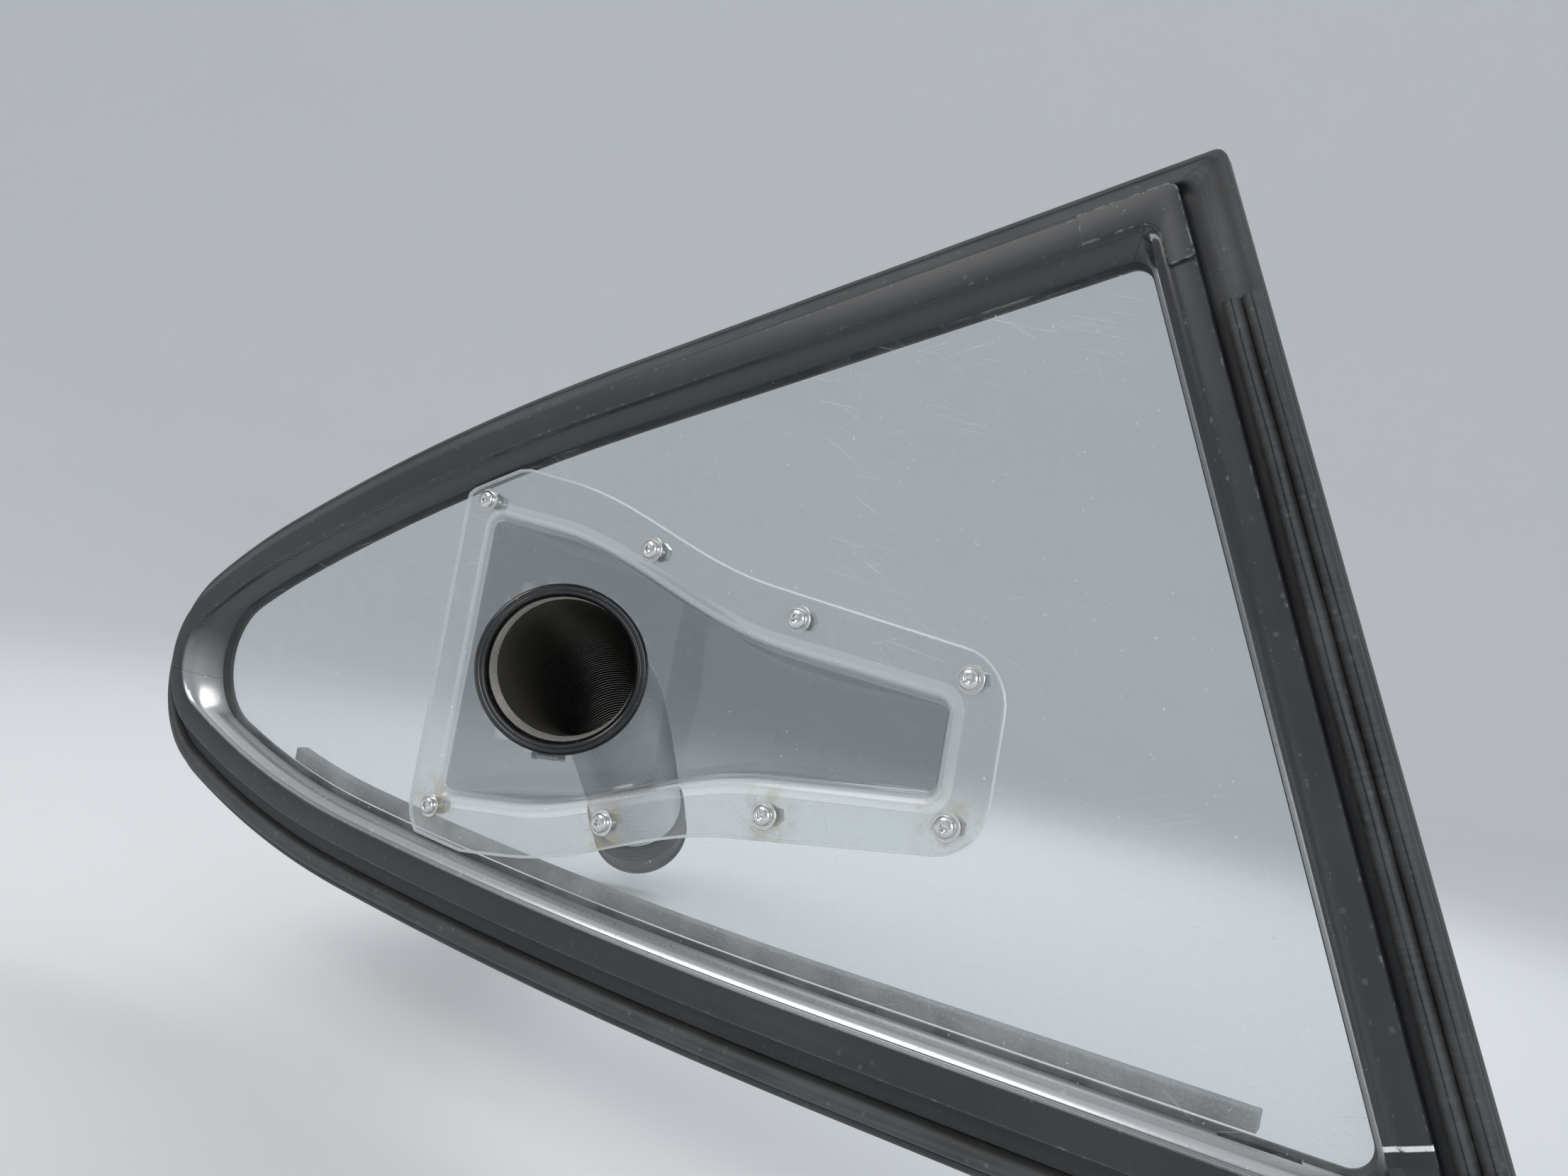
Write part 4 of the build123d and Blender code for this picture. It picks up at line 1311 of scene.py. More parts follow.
class QUARTER_WINDOW_OT_corner(bpy.types.Operator):
    """Model the cap over the mitre and the thin clip over the lower joint"""

    bl_idname = "quarter_window.corner"
    bl_label = "Corner cap and joint clip"

    clip_guard = 300.0

    def execute(self, context):
        edge = Edge()
        sizes = edge.sizes
        outer_top = edge.top_corner(11.5, 18.4)
        roof_stop = outer_top - edge.roof_way * sizes.cap_along_roof
        front_stop = outer_top - edge.lean_way * sizes.cap_along_front
        cap = edge.skin("top_corner_cap", CAP_PROFILE, ("wear",))
        cut_away(cap, upright(roof_stop) * MM, -upright(edge.roof_way))
        cut_away(cap, upright(front_stop) * MM, -upright(edge.lean_way))
        smooth(cap)
        settle(cap, ["corner_cap"], [once(satin_cap)])
        clip = edge.skin("lower_joint_clip", CLIP_PROFILE, ("wear",))
        foot = upright(edge.front_at(sizes.joint_z))
        along = upright(edge.lean_way)
        half = along * (sizes.clip_width / 2)
        cut_away(clip, Vector((self.clip_guard, 0, 0)) * MM, Vector((-1, 0, 0)))
        cut_away(clip, (foot + half) * MM, along)
        cut_away(clip, (foot - half) * MM, -along)
        smooth(clip)
        settle(clip, ["joint_clip"], [once(clip_steel)])
        return {"FINISHED"}


class QUARTER_WINDOW_OT_strip(bpy.types.Operator):
    """Model the twin-rib rubber strip along the front edge"""

    bl_idname = "quarter_window.strip"
    bl_label = "Ribbed strip"

    def execute(self, context):
        edge = Edge()
        sizes = edge.sizes
        rings = []
        for k in range(STRIP_STEPS + 1):
            z = sizes.strip_low_z + (sizes.strip_high_z - sizes.strip_low_z) * k / STRIP_STEPS
            ring = []
            for number, (inset, height) in enumerate(STRIP_SECTION):
                lift = min(max((height - 10) / 5, 0), 1)
                sway = noise.noise(Vector((k * 0.17, number * 0.07, 3.0)))
                dip = noise.noise(Vector((k * 0.36, number * 0.12, 9.0)))
                spot = edge.front_at(z, min(max(inset + sway * 0.5 * lift, 0.8), 14.6))
                ring.append(placed(spot.x, min(height + dip * 0.45 * lift, 15.2), spot.y))
            rings.append(ring)
        piece = grow("ribbed_strip", rings, "filled", angle=50)
        mark(piece, "dust", [0.75])
        settle(piece, ["upright_strip"], [once(dusty_rubber)])
        return {"FINISHED"}


class QUARTER_WINDOW_OT_ledge(bpy.types.Operator):
    """Model the grained ledge that shows through the pane along its lower edge"""

    bl_idname = "quarter_window.ledge"
    bl_label = "Grained ledge"

    def execute(self, context):
        edge = Edge()
        sizes = edge.sizes
        rings = []
        for k in range(LEDGE_STEPS + 1):
            x = sizes.ledge_rear_x + (sizes.ledge_front_x - sizes.ledge_rear_x) * k / LEDGE_STEPS
            rings.append([placed(x, h, edge.low_height(x, inset)) for inset, h in LEDGE_SECTION])
        piece = grow("vinyl_ledge", rings, "filled", angle=60)
        settle(piece, ["inner_ledge"], [once(grained_vinyl)])
        return {"FINISHED"}


class QUARTER_WINDOW_OT_pane(bpy.types.Operator):
    """Finish the flat pane and the bedding seal behind it"""

    bl_idname = "quarter_window.pane"
    bl_label = "Pane and seal"

    def execute(self, context):
        finishes = {
            "pane": once(clear_pane),
            "glazing_seal": once(matt_rubber),
        }
        for node, finish in finishes.items():
            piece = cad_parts[node]
            piece.data.materials.clear()
            piece.data.materials.append(finish)
        return {"FINISHED"}


# Scoop


class Flask:
    """A flask-shaped outline of the scoop, wide at the rear and narrow at the front."""

    def __init__(self, sizes, part):
        for name in ("level", "taper", "swell", "swell_start", "swell_end", "rear", "front"):
            setattr(self, name, getattr(sizes, part + "_" + name))
        self.rear_corner = getattr(sizes, part + "_rear_corner")
        self.front_corner = getattr(sizes, part + "_front_corner")
        self.least_corner = sizes.least_corner

    def half_width(self, s, inset):
        t = min(max((s - self.swell_start) / (self.swell_end - self.swell_start), 0.0), 1.0)
        return self.level - inset - self.taper * s + self.swell * (1 + cos(pi * t)) / 2

    def around(self, inset):
        """Stations round the outline, from the middle of its rear edge."""
        rear = self.rear + inset
        front = self.front - inset
        rear_round = max(self.rear_corner - inset, self.least_corner)
        front_round = max(self.front_corner - inset, self.least_corner)
        lean = sqrt(1 + self.taper**2)
        out = atan2(1, self.taper)
        rear_s = rear + rear_round
        front_s = front - front_round
        rear_hub = Vector((rear_s, self.half_width(rear_s, inset) - rear_round * lean))
        front_hub = Vector((front_s, self.half_width(front_s, inset) - front_round * lean))
        swell_from = Vector((self.swell_start, self.half_width(self.swell_start, inset)))
        swell_to = Vector((self.swell_end, self.half_width(self.swell_end, inset)))
        half = line(Vector((rear, 0)), Vector((rear, rear_hub.y)), 10)
        half += arc(rear_hub, rear_round, pi, out, 8)
        half += line(rear_hub + spoke(out) * rear_round, swell_from, 6)
        for k in range(26):
            s = self.swell_start + (self.swell_end - self.swell_start) * k / 26
            half.append(Vector((s, self.half_width(s, inset))))
        half += line(swell_to, front_hub + spoke(out) * front_round, 12)
        half += arc(front_hub, front_round, out, 0.0, 8)
        half += line(Vector((front, front_hub.y)), Vector((front, 0)), 5)
        half.append(Vector((front, 0)))
        return half[:-1] + [Vector((p.x, -p.y)) for p in reversed(half[1:])]


# Degrees round the rolled lip, and how milky the sheet is made there; the two milky rings are painted highlights
# along the lip
LIP_TURNS = ((0, 0.0), (8, 0.05), (18, 0.55), (28, 0.5), (40, 0.05), (52, 0.05), (62, 0.45), (74, 0.35), (90, 0.0))


def soft_most(a, b, reach):
    """The larger of two heights, rounded where they meet."""
    near = max(reach - abs(a - b), 0) / reach
    return max(a, b) + near * near * reach / 4


class Scoop:
    """The moulded scoop: s runs forward, w across and h outward, in millimetres."""

    def __init__(self):
        self.sizes = InMillimetres("window_scoop")
        sizes = self.sizes
        self.forward = Vector((cos(sizes.turned), 0, sin(sizes.turned)))
        self.across = Vector((-sin(sizes.turned), 0, cos(sizes.turned)))
        self.out = Vector((0, -1, 0))
        self.throat_s = sizes.spigot_s + cos(sizes.spigot_tilt) * sizes.throat_reach
        self.throat_h = sizes.spigot_h - sin(sizes.spigot_tilt) * sizes.throat_reach
        self.ramp_rise = (sizes.ramp_front_h - self.throat_h) / (sizes.ramp_front_s - self.throat_s)

    def spot(self, s, w, h):
        origin = Vector((self.sizes.place_x, 0, self.sizes.place_z))
        return (origin + self.forward * s + self.across * w + self.out * h) * MM

    def floor(self, s):
        """Height of the floor: the tilted plate, then the ramp, and never above the flange."""
        sizes = self.sizes
        plate = sizes.spigot_h + (sizes.spigot_s - s) * tan(sizes.spigot_tilt)
        ramp = self.throat_h + (s - self.throat_s) * self.ramp_rise
        return -soft_most(-soft_most(plate, ramp, 16.0), -sizes.floor_high, 2.0)

    def spigot_axis(self):
        tilt = self.sizes.spigot_tilt
        return (self.forward * sin(tilt) + self.out * cos(tilt)).normalized()

    def spigot_place(self):
        """Place of the spigot: its axis points out of the scoop."""
        return standing(self.spot(self.sizes.spigot_s, 0, self.sizes.spigot_h), self.spigot_axis(), self.across)

    def hold_inside(self, edge, flange, lip):
        """Draw a flange point back towards the lip until it clears the trim."""

        def clears(point):
            flat = self.spot(point.x, point.y, 0) / MM
            return edge.inside(Vector((flat.x, flat.z)), 33.0, 44.5)

        if clears(flange):
            return flange
        near, far = 0.0, 1.0
        for _ in range(24):
            middle = (near + far) / 2
            if clears(flange.lerp(lip, middle)):
                far = middle
            else:
                near = middle
        return flange.lerp(lip, far)

    def rings(self):
        """Rings of the outer skin, each with its marks for the bright edge and the recess; the bright marks on the
        rolled lip are painted highlights.
        """
        sizes = self.sizes
        edge = Edge()
        lip_flask = Flask(sizes, "lip")
        lip = lip_flask.around(0.0)
        flange = Flask(sizes, "flange").around(0.0)
        flange = [self.hold_inside(edge, f, p) for f, p in zip(flange, lip)]
        base = lip_flask.around(sizes.lip_roll)
        deeper = lip_flask.around(sizes.lip_roll + 1.0)
        inwards = [after - before for before, after in zip(base, deeper)]
        roll_end = sizes.face - sizes.lip_roll
        depth = [max(roll_end - self.floor(p.x), 0.0) for p in base]
        rounds = [min(sizes.foot_round, 0.45 * d) for d in depth]
        made = []

        def add(points, bright, recess):
            made.append(([self.spot(*point) for point in points], bright, recess))

        add([(p.x, p.y, sizes.face - 0.5) for p in flange], 1.0, 0.0)
        for step, bright in ((0.5, 0.8), (1.3, 0.0)):
            moved = [p + (q - p).normalized() * step for p, q in zip(flange, lip)]
            add([(p.x, p.y, sizes.face) for p in moved], bright, 0.0)
        for t in (0.2, 0.4, 0.6, 0.8, 0.93):
            moved = [p.lerp(q, t) for p, q in zip(flange, lip)]
            add([(p.x, p.y, sizes.face) for p in moved], 0.0, 0.0)
        for turned, bright in LIP_TURNS:
            spin = radians(turned)
            flat = lip_flask.around(sizes.lip_roll * sin(spin))
            height = sizes.face - sizes.lip_roll * (1 - cos(spin))
            points = [(p.x, p.y, soft_most(height, self.floor(p.x), 1.0)) for p in flat]
            add(points, bright, turned / 90)
        for part in (0.25, 0.5, 0.75, 1.0):
            points = []
            for p, step, d, r in zip(base, inwards, depth, rounds):
                drop = (d - r) * part
                flat = p + step * drop * sizes.draft
                points.append((flat.x, flat.y, soft_most(roll_end - drop, self.floor(flat.x), 1.0)))
            add(points, 0.0, 1.0)
        foot = []
        for turned in (25, 50, 75, 90):
            spin = radians(turned)
            points = []
            for p, step, d, r in zip(base, inwards, depth, rounds):
                flat = p + step * ((d - r) * sizes.draft + r * (1 - cos(spin)))
                points.append((flat.x, flat.y, self.floor(flat.x) + r * (1 - sin(spin))))
            add(points, 0.0, 1.0)
            foot = points
        for t in (0.12, 0.25, 0.4, 0.55, 0.7, 0.85, 1.0):
            points = []
            for s, w, _ in foot:
                spine = min(max(s, sizes.spine_rear), sizes.spine_front)
                along = s + (spine - s) * t
                points.append((along, w * (1 - t), self.floor(along)))
            add(points, 0.0, 1.0)
        return made


def standing(point, axis, side):
    """Place of a turned piece: its axis, and the side that its own x points to."""
    z = axis.normalized()
    y = z.cross(side).normalized()
    x = y.cross(z)
    return Matrix.Translation(point) @ Matrix((x, y, z)).transposed().to_4x4()


def drill(name, place, radius, reach, steps):
    """A plain plug used to cut a hole."""
    clear_choice()
    bpy.ops.mesh.primitive_cylinder_add(vertices=steps, radius=radius * MM, depth=reach * MM)
    plug = bpy.context.object
    plug.name = name
    plug.data.transform(place)
    return plug


def screw_places():
    sizes = InMillimetres("window_fasteners")
    rows = (
        (sizes.rear_s, sizes.rear_w),
        (sizes.second_s, sizes.second_w),
        (sizes.third_s, sizes.third_w),
        (sizes.front_s, sizes.front_w),
    )
    return [(s, w * side) for side in (1, -1) for s, w in rows]


class QUARTER_WINDOW_OT_scoop(bpy.types.Operator):
    """Model the clear moulded scoop with its flange, rolled lip, walls, tilted plate and ramp"""

    bl_idname = "quarter_window.scoop"
    bl_label = "Air scoop"

    def execute(self, context):
        scoop = Scoop()
        made = scoop.rings()

        def outwards(centre):
            return scoop.out

        shell = grow("scoop_shell", [ring for ring, _, _ in made], "open", outwards, 50)
        mark(shell, "edge", [bright for _, bright, _ in made])
        mark(shell, "recess", [recess for _, _, recess in made])
        choose(shell)
        bpy.ops.object.mode_set(mode="EDIT")
        bpy.ops.mesh.select_all(action="SELECT")
        bpy.ops.mesh.remove_doubles(threshold=0.02 * MM)
        bpy.ops.object.mode_set(mode="OBJECT")
        shell.data.materials.append(once(clear_moulding))
        shell.data.materials.append(once(cut_edge))
        apply_modifier(
            shell,
            "SOLIDIFY",
            thickness=scoop.sizes.sheet * MM,
            offset=-1.0,
            use_even_offset=True,
            use_quality_normals=True,
            material_offset_rim=1,
        )
        spigot_outer = InMillimetres("window_duct").spigot_outer
        hole_radius = InMillimetres("window_fasteners").hole_radius
        plugs = [drill("drill", scoop.spigot_place(), spigot_outer + 0.1, 60.0, 96)]
        for s, w in screw_places():
            place = standing(scoop.spot(s, w, scoop.sizes.face), scoop.out, scoop.forward)
            plugs.append(drill("drill", place, hole_radius, 8.0, 24))
        cutter = join(plugs)
        apply_modifier(shell, "BOOLEAN", object=cutter, operation="DIFFERENCE", solver="EXACT")
        discard(cutter)
        smooth(shell, 50)
        settle(shell, ["scoop_moulding"], [])
        return {"FINISHED"}


# Spigot profile: radius, height out of the plate, and how far the row is six-sided
SPIGOT_RIM = (
    (43.5, 0.0, 0.0),
    (43.5, 1.2, 0.0),
    (43.15, 2.1, 0.0),
    (42.4, 2.75, 0.0),
    (41.5, 3.0, 0.0),
    (40.7, 2.75, 0.0),
    (40.2, 2.45, 0.0),
    (39.7, 2.8, 0.0),
    (38.9, 2.75, 0.0),
    (38.1, 2.2, 0.0),
    (37.4, 1.2, 0.0),
    (37.0, 0.0, 0.0),
    (36.85, -2.0, 0.0),
    (36.9, -4.5, 0.0),
)
SPIGOT_BACK = ((37.3, -41.7, 0.0), (38.2, -42.0, 0.0), (38.55, -41.6, 0.0), (38.55, -2.0, 0.0))
SPIGOT_RIB_START = -5.4
SPIGOT_RIBS = 9


class QUARTER_WINDOW_OT_spigot(bpy.types.Operator):
    """Model the gloss black spigot with its rolled rim and ribbed bore"""

    bl_idname = "quarter_window.spigot"
    bl_label = "Spigot"

    def execute(self, context):
        pitch = InMillimetres("window_duct").bore_pitch
        rows = list(SPIGOT_RIM)
        for k in range(SPIGOT_RIBS):
            start = SPIGOT_RIB_START - k * pitch
            rows.append((36.9, start, 0.0))
            rows.append((36.9, start - pitch * 0.30, 0.0))
            rows.append((38.1, start - pitch * 0.36, 0.0))
            rows.append((38.1, start - pitch * 0.88, 0.0))
        rows += list(SPIGOT_BACK)
        rings, name, angle = spun("duct_spigot", rows, Scoop().spigot_place(), 112, 44)
        piece = grow(name, rings, angle=angle)
        mark(piece, "bore", [float(radius < 38.2 and height < -3) for radius, height, _ in rows])
        # Painted shade: marks the grooves of the bore to be darkened.
        mark(piece, "groove", [float(38.0 < radius < 38.2) for radius, _, _ in rows])
        settle(piece, ["spigot_ring"], [once(gloss_plastic)])
        return {"FINISHED"}


# Route of the hose: points that its smooth line follows, in metres
HOSE_ROUTE = (
    (-0.085023, 0.026213, 0.128385),
    (-0.178376, 0.143604, 0.126266),
    (-0.268044, 0.305771, 0.084294),
    (-0.340520, 0.450722, -0.014884),
)
HOSE_SIDES = 48
# A distance off the spigot's middle line; the hose step works out a point this far off but does not use it
HOSE_EXIT_LIFT = 0.012


def route_points():
    """The hose's smooth line, read from its curve, and the curve itself."""
    data = bpy.data.curves.new("duct_line", "CURVE")
    data.dimensions = "3D"
    data.resolution_u = 40
    spline = data.splines.new("NURBS")
    spline.points.add(len(HOSE_ROUTE) - 1)
    for point, place in zip(spline.points, HOSE_ROUTE):
        point.co = (*place, 1.0)
    spline.order_u = 3
    spline.use_endpoint_u = True
    curve = bpy.data.objects.new("duct_line", data)
    bpy.context.scene.collection.objects.link(curve)
    bpy.context.view_layer.update()
    shape = bpy.data.meshes.new_from_object(curve)
    points = [vert.co.copy() for vert in shape.vertices]
    bpy.data.meshes.remove(shape)
    return curve, points


def foil_pitch(sizes, pitch):
    """One rib of the hose, lying along x, to be repeated."""
    rows = (
        (0.0, sizes.valley_radius),
        (0.28, sizes.valley_radius + 0.05),
        (0.52, sizes.crest_radius),
        (0.80, sizes.crest_radius - 0.05),
        (1.0, sizes.valley_radius),
    )
    rings = []
    for part, radius in rows:
        ring = []
        for k in range(HOSE_SIDES):
            spin = 2 * pi * k / HOSE_SIDES
            ring.append(Vector((pitch * part, radius * MM * cos(spin), radius * MM * sin(spin))))
        rings.append(ring)

    def outwards(centre):
        return Vector((0, centre.y, centre.z)).normalized()

    hose = grow("foil_duct", rings, "open", outwards, 60)
    # Painted shade: marks the rows that are grooves from the inside, to be darkened.
    mark(hose, "groove", [float(radius > sizes.valley_radius + 1) for _, radius in rows])
    return hose


class QUARTER_WINDOW_OT_hose(bpy.types.Operator):
    """Model the corrugated foil hose with its clamp and the cuff at its far end"""

    bl_idname = "quarter_window.hose"
    bl_label = "Duct hose"

    def execute(self, context):
        sizes = InMillimetres("window_duct")
        curve, points = route_points()
        full = sum((b - a).length for a, b in zip(points, points[1:]))
        count = round(full / (sizes.rib_pitch * MM))
        pitch = full / count
        hose = foil_pitch(sizes, pitch)
        apply_modifier(
            hose,
            "ARRAY",
            count=count,
            use_relative_offset=False,
            use_constant_offset=True,
            constant_offset_displace=(pitch, 0.0, 0.0),
            use_merge_vertices=True,
            merge_threshold=0.01 * MM,
        )
        apply_modifier(hose, "CURVE", object=curve, deform_axis="POS_X")
        for vert in hose.data.vertices:
            dent = noise.noise(vert.co * 55.0) + 0.6 * noise.noise(vert.co * 170.0)
            vert.co += vert.normal * min(dent * 0.16 - 0.1, 0.0) * MM
        hose.data.materials.append(once(duct_foil))
        hose.data.materials.append(once(duct_lining))
        apply_modifier(
            hose, "SOLIDIFY", thickness=sizes.wall * MM, offset=-1.0, material_offset=1, material_offset_rim=0
        )
        discard(curve)
        smooth(hose, 60)
        settle(hose, ["duct_hose"], [])
        clamp = self.clamp(sizes)
        cuff = self.cuff(sizes)
        Vector(HOSE_ROUTE[0]) + Scoop().across * HOSE_EXIT_LIFT
        sizes.diameter * MM
        return {"FINISHED"}

    def clamp(self, sizes):
        """Worm-drive clamp: a slotted band, its housing and the screw in it."""
        scoop = Scoop()
        start = Vector(HOSE_ROUTE[0])
        place = standing(start, -scoop.spigot_axis(), scoop.across)
        inner, outer = sizes.band_inner, sizes.band_outer
        low, high = sizes.clamp_start, sizes.clamp_end
        steps = 144
        rows = (
            (inner, low, 0.0),
            (outer - 0.2, low, 0.0),
            (outer, low + 0.3, 0.0),
            (outer, low + 2.6, 0.0),
            (outer, low + 3.0, 1.0),
            (outer, high - 3.0, 1.0),
            (outer, high - 2.6, 0.0),
            (outer, high - 0.3, 0.0),
            (outer - 0.2, high, 0.0),
            (inner, high, 0.0),
        )
        rings = []
        for radius, height, slotted in rows:
            ring = []
            for k in range(steps):
                spin = 2 * pi * k / steps
                reach = radius - slotted * 0.35 * (k % 4 < 2)
                ring.append(place @ (Vector((reach * cos(spin), reach * sin(spin), height)) * MM))
            rings.append(ring)
        band = grow("duct_clamp", rings, angle=30)
        middle = (low + high) / 2
        housing = self.housing(place, outer, middle)
        screw_place = place @ Matrix.Translation(Vector((-46.2, 0, middle)) * MM)
        screw_place = screw_place @ Matrix.Rotation(radians(90), 4, "X")
        rows = (
            (1.2, -8.9, 0.0),
            (2.4, -8.6, 0.0),
            (2.4, 5.4, 0.0),
            (3.3, 5.6, 1.0),
            (3.4, 6.0, 1.0),
            (3.4, 8.2, 1.0),
            (3.0, 8.8, 0.6),
            (1.6, 8.9, 0.0),
            (1.3, 8.4, 0.0),
        )
        rings, name, angle = spun("clamp_screw", rows, screw_place, 24, 35)
        screw = grow(name, rings, "filled", angle=angle)
        piece = join([band, housing, screw])
        settle(piece, ["hose_clamp"], [once(plain_steel)])
        return piece

    def housing(self, place, outer, middle):
        """Rounded housing of the clamp, swept across the band."""
        section = []
        for k in range(15):
            spin = pi * k / 14
            section.append((-outer - 0.2 - 3.4 - 3.45 * sin(spin) * 1.0, 5.4 * cos(spin)))
        section.append((-outer - 0.1, -5.6))
        section.append((-outer - 0.1, 5.6))
        rings = []
        for part, shrink in ((-6.4, 0.9), (-6.0, 1.0), (4.2, 1.0), (4.6, 0.9)):
            ring = []
            for x, z in section:
                x = -outer + (x + outer) * shrink
                ring.append(place @ (Vector((x, part, middle + z * shrink)) * MM))
            rings.append(ring)
        return grow("clamp_housing", rings, "filled", angle=35)

    def cuff(self, sizes):
        """Rubber cuff with moulded ribs and a rounded mouth."""
        start, end = Vector(HOSE_ROUTE[-1]), Vector(HOSE_ROUTE[-2])
        axis = (start - end).normalized()
        place = standing(start, axis, Vector((0, 0, 1)))
        outer, seat, bore = sizes.cuff_outer, sizes.cuff_inner, sizes.cuff_bore
        cover, spout = sizes.cuff_cover, sizes.cuff_spout
        rows = [(seat, -cover, 0.0), (outer - 0.9, -cover, 0.0), (outer - 0.35, -cover + 0.5, 0.0)]
        for height in (-24.0, -17.0, -10.0, -3.0):
            rows += [
                (outer - 0.9, height, 0.0),
                (outer - 0.3, height + 0.6, 0.0),
                (outer - 0.02, height + 1.5, 0.0),
                (outer - 0.02, height + 4.5, 0.0),
                (outer - 0.3, height + 5.4, 0.0),
                (outer - 0.9, height + 6.0, 0.0),
            ]
        rows += [
            (outer - 1.6, 5.0, 0.0),
            (outer - 1.6, spout - 5.0, 0.0),
            (outer - 0.4, spout - 4.0, 0.0),
            (outer - 0.02, spout - 3.0, 0.0),
            (outer - 0.02, spout - 0.9, 0.0),
            (outer - 0.6, spout - 0.15, 0.0),
            (outer - 1.4, spout, 0.0),
            (bore + 1.0, spout, 0.0),
            (bore + 0.2, spout - 0.4, 0.0),
            (bore, spout - 1.4, 0.0),
            (bore, 0.8, 0.0),
            (bore + 0.5, 0.1, 0.0),
            (seat, 0.0, 0.0),
        ]
        rings, name, angle = spun("duct_cuff", rows, place, 96, 40)
        piece = grow(name, rings, angle=angle)
        mark(piece, "dust", [0.35])
        settle(piece, ["hose_end_cuff"], [once(dusty_rubber)])
        return piece


# Fastener profiles, from the underside of the head: radius, height, how far the row is six-sided
THREAD_START = -11.7
THREAD_PITCH = 0.8
THREAD_TURNS = 9
SCREW_TAIL = ((1.4, -12.5, 0.0), (2.1, -12.35, 0.0), (2.45, -12.0, 0.0))
SCREW_HEAD = (
    (2.5, -4.2, 0.0),
    (2.5, -0.1, 0.0),
    (4.3, 0.0, 0.0),
    (4.5, 0.2, 0.0),
    (4.5, 0.7, 0.0),
    (4.42, 1.2, 0.0),
    (4.15, 1.75, 0.0),
    (3.7, 2.2, 0.0),
    (3.1, 2.52, 0.0),
    (2.5, 2.67, 0.0),
    (2.15, 2.7, 0.0),
    (1.95, 2.62, 0.5),
    (1.8, 2.45, 1.0),
    (1.75, 2.3, 1.0),
    (1.75, 1.0, 1.0),
    (1.6, 0.92, 0.6),
    (0.5, 0.7, 0.0),
)
WASHER_PROFILE = (
    (2.75, -1.0, 0.0),
    (5.85, -1.0, 0.0),
    (6.0, -0.85, 0.0),
    (6.0, -0.2, 0.0),
    (5.8, -0.02, 0.0),
    (3.0, -0.02, 0.0),
    (2.75, -0.2, 0.0),
)
NUT_PROFILE = (
    (2.5, -10.7, 0.0),
    (2.9, -10.98, 0.0),
    (3.85, -10.98, 0.15),
    (4.25, -10.8, 0.7),
    (4.6, -10.4, 1.0),
    (4.6, -7.6, 1.0),
    (4.25, -7.2, 0.7),
    (3.85, -7.02, 0.15),
    (2.9, -7.02, 0.0),
    (2.5, -7.3, 0.0),
)
SPIN_STEP = 41.0


class QUARTER_WINDOW_OT_fasteners(bpy.types.Operator):
    """Model a button-head screw, a washer and a nut, and place eight of each"""

    bl_idname = "quarter_window.fasteners"
    bl_label = "Screws, washers and nuts"

    def execute(self, context):
        rows = list(SCREW_TAIL)
        for k in range(THREAD_TURNS):
            rows.append((2.15, THREAD_START + k * THREAD_PITCH, 0.0))
            rows.append((2.5, THREAD_START + (k + 0.5) * THREAD_PITCH, 0.0))
        rows += list(SCREW_HEAD)
        still = Matrix.Identity(4)
        patterns = {
            "button_screw": (rows, "filled", "screw_", "screw_chrome", once(polished_steel)),
            "plain_washer": (WASHER_PROFILE, "joined", "washer_", "washer_steel", once(plain_steel)),
            "hex_nut": (NUT_PROFILE, "joined", "nut_", "nut_steel", once(zinc_steel)),
        }
        scoop = Scoop()
        seat = InMillimetres("window_fasteners").seat
        for name, (profile, ends, node, slot, finish) in patterns.items():
            rings, label, angle = spun(name, profile, still, 24, 32)
            pattern = grow(label, rings, ends, angle=angle)
            for number, (s, w) in enumerate(screw_places(), start=1):
                piece = twin(pattern, name + "_" + str(number))
                place = standing(scoop.spot(s, w, seat), scoop.out, scoop.forward)
                spin = Matrix.Rotation(radians(SPIN_STEP * number), 4, "Z")
                piece.data.transform(place @ spin)
                settle(piece, [node + str(number)], [finish])
            discard(pattern)
        return {"FINISHED"}


# Lamps: name, place, what it points at, size, power and colour, in metres and watts
LAMPS = (
    ("key_lamp", (-0.75, -1.35, 1.25), (0.0, 0.0, 0.15), 1.0, 9.0, (1.0, 0.98, 0.95)),
    ("fill_lamp", (1.35, -1.05, 0.55), (0.0, 0.0, 0.12), 0.9, 7.0, (0.93, 0.96, 1.0)),
    ("rim_lamp", (-0.5, 1.5, 1.3), (-0.1, 0.15, 0.1), 1.2, 12.0, (0.96, 0.98, 1.0)),
)


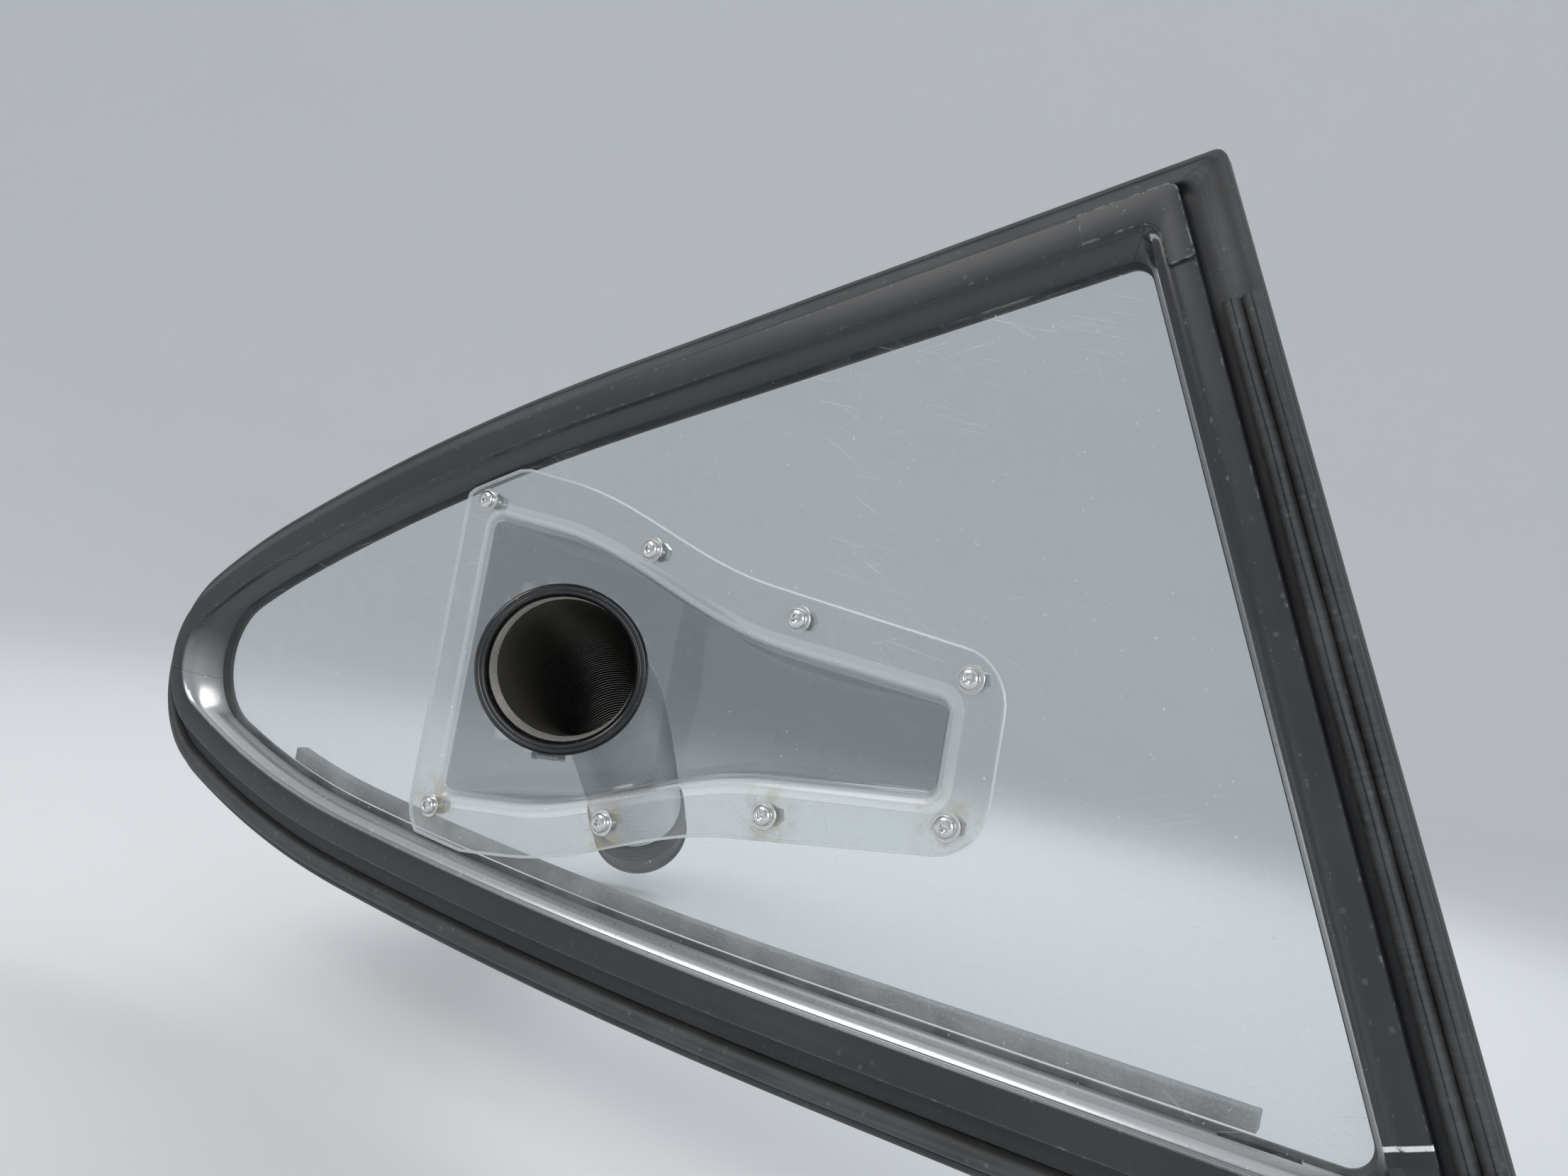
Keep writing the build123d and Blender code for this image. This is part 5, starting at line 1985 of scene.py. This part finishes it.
class QUARTER_WINDOW_OT_stage(bpy.types.Operator):
    """Make the camera, the lamps, the daylight and the pale floor that curves up into a backdrop"""

    bl_idname = "quarter_window.stage"
    bl_label = "Camera, light and floor"

    def execute(self, context):
        studio = context.scene.window_studio
        self.camera(studio)
        for name, place, aim, size, power, tone in LAMPS:
            clear_choice()
            bpy.ops.object.light_add(type="AREA", location=place)
            lamp = context.object
            lamp.name = name
            lamp.rotation_euler = (Vector(aim) - Vector(place)).to_track_quat("-Z", "Y").to_euler()
            lamp.data.shape = "DISK"
            lamp.data.size = size
            lamp.data.energy = power
            lamp.data.color = tone
        self.daylight(studio)
        self.backdrop()
        context.scene.view_settings.view_transform = "Standard"
        return {"FINISHED"}

    def camera(self, studio):
        clear_choice()
        bpy.ops.object.camera_add(location=studio.camera_place)
        camera = bpy.context.object
        ahead = Vector(studio.camera_ahead).normalized()
        right = Vector(studio.camera_right)
        right = (right - ahead * right.dot(ahead)).normalized()
        above = (-ahead).cross(right)
        camera.rotation_euler = Matrix((right, above, -ahead)).transposed().to_euler()
        camera.data.lens = studio.lens
        camera.data.sensor_width = 36.0
        camera.data.clip_start = 0.01
        bpy.context.scene.camera = camera

    def daylight(self, studio):
        """Plain light from the open top of the backdrop, and a pale tone where it is seen."""
        world = bpy.data.worlds.new("daylight")
        bpy.context.scene.world = world
        world.use_nodes = True
        tree = world.node_tree
        tree.nodes.clear()
        path = tree.nodes.new("ShaderNodeLightPath")
        lit = tree.nodes.new("ShaderNodeBackground")
        lit.inputs["Color"].default_value = (0.93, 0.965, 1.0, 1.0)
        lit.inputs["Strength"].default_value = studio.daylight
        seen = tree.nodes.new("ShaderNodeBackground")
        seen.inputs["Color"].default_value = (*colours().backdrop, 1.0)
        seen.inputs["Strength"].default_value = 1.0
        direct = tree.nodes.new("ShaderNodeMath")
        direct.operation = "MAXIMUM"
        tree.links.new(path.outputs["Is Camera Ray"], direct.inputs[0])
        tree.links.new(path.outputs["Is Transmission Ray"], direct.inputs[1])
        mixed = tree.nodes.new("ShaderNodeMixShader")
        tree.links.new(direct.outputs[0], mixed.inputs[0])
        tree.links.new(lit.outputs[0], mixed.inputs[1])
        tree.links.new(seen.outputs[0], mixed.inputs[2])
        out = tree.nodes.new("ShaderNodeOutputWorld")
        tree.links.new(mixed.outputs[0], out.inputs["Surface"])

    def backdrop(self):
        """A floor that turns up into a wall all round."""
        sizes = InMillimetres("window_studio")
        radius = sizes.bowl_radius
        rows = (
            (0.0, 0.0),
            (0.30, 0.0),
            (0.55, 0.0),
            (0.66, 0.005),
            (0.76, 0.03),
            (0.85, 0.08),
            (0.92, 0.16),
            (0.97, 0.28),
            (1.0, 0.45),
            (1.0, 0.70),
            (1.0, 1.0),
        )
        rings = []
        for part, rise in rows:
            ring = []
            for k in range(96):
                spin = 2 * pi * k / 96
                flat = Vector((cos(spin), sin(spin))) * radius * part
                ring.append(Vector((flat.x, flat.y, sizes.floor_z + radius * rise)) * MM)
            rings.append(ring)

        def outwards(centre):
            return Vector((0, 0, 1))

        floor = grow("studio_floor", rings, "open", outwards, 60)
        floor.data.materials.append(once(pale_floor))


def pale_floor(board):
    """Pale matt floor and backdrop."""
    mottle = board.noise(board.place(), 3.0, 3.0, 0.6)
    base = board.blend(mottle * 0.06, colours().backdrop, (0.6, 0.6, 0.6))
    return board.finish(board.surface({"Base Color": base, "Roughness": 0.85, "Specular IOR Level": 0.2}))


STEPS = {
    "stage": QUARTER_WINDOW_OT_stage,
    "hose": QUARTER_WINDOW_OT_hose,
    "gasket": QUARTER_WINDOW_OT_gasket,
    "trim": QUARTER_WINDOW_OT_trim,
    "corner": QUARTER_WINDOW_OT_corner,
    "strip": QUARTER_WINDOW_OT_strip,
    "ledge": QUARTER_WINDOW_OT_ledge,
    "pane": QUARTER_WINDOW_OT_pane,
    "scoop": QUARTER_WINDOW_OT_scoop,
    "spigot": QUARTER_WINDOW_OT_spigot,
    "fasteners": QUARTER_WINDOW_OT_fasteners,
}


class QUARTER_WINDOW_PT_pieces(bpy.types.Panel):
    """Sizes and steps of the window"""

    bl_label = "Quarter window"
    bl_idname = "QUARTER_WINDOW_PT_pieces"
    bl_space_type = "VIEW_3D"
    bl_region_type = "UI"
    bl_category = "Quarter window"

    def draw(self, context):
        for step in STEPS.values():
            self.layout.operator(step.bl_idname)
        for name, group in GROUPS.items():
            box = self.layout.box()
            box.label(text=group.__doc__)
            for setting in group.__annotations__:
                box.prop(getattr(context.scene, name), setting)


def register():
    for name, group in GROUPS.items():
        bpy.utils.register_class(group)
        setattr(bpy.types.Scene, name, bpy.props.PointerProperty(type=group))
    for step in STEPS.values():
        bpy.utils.register_class(step)
    bpy.utils.register_class(QUARTER_WINDOW_PT_pieces)


def unregister():
    bpy.utils.unregister_class(QUARTER_WINDOW_PT_pieces)
    for step in reversed(STEPS.values()):
        bpy.utils.unregister_class(step)
    for name, group in reversed(GROUPS.items()):
        delattr(bpy.types.Scene, name)
        bpy.utils.unregister_class(group)


def main():
    register()
    for step in STEPS:
        getattr(bpy.ops.quarter_window, step)()


if __name__ == "__main__":
    main()
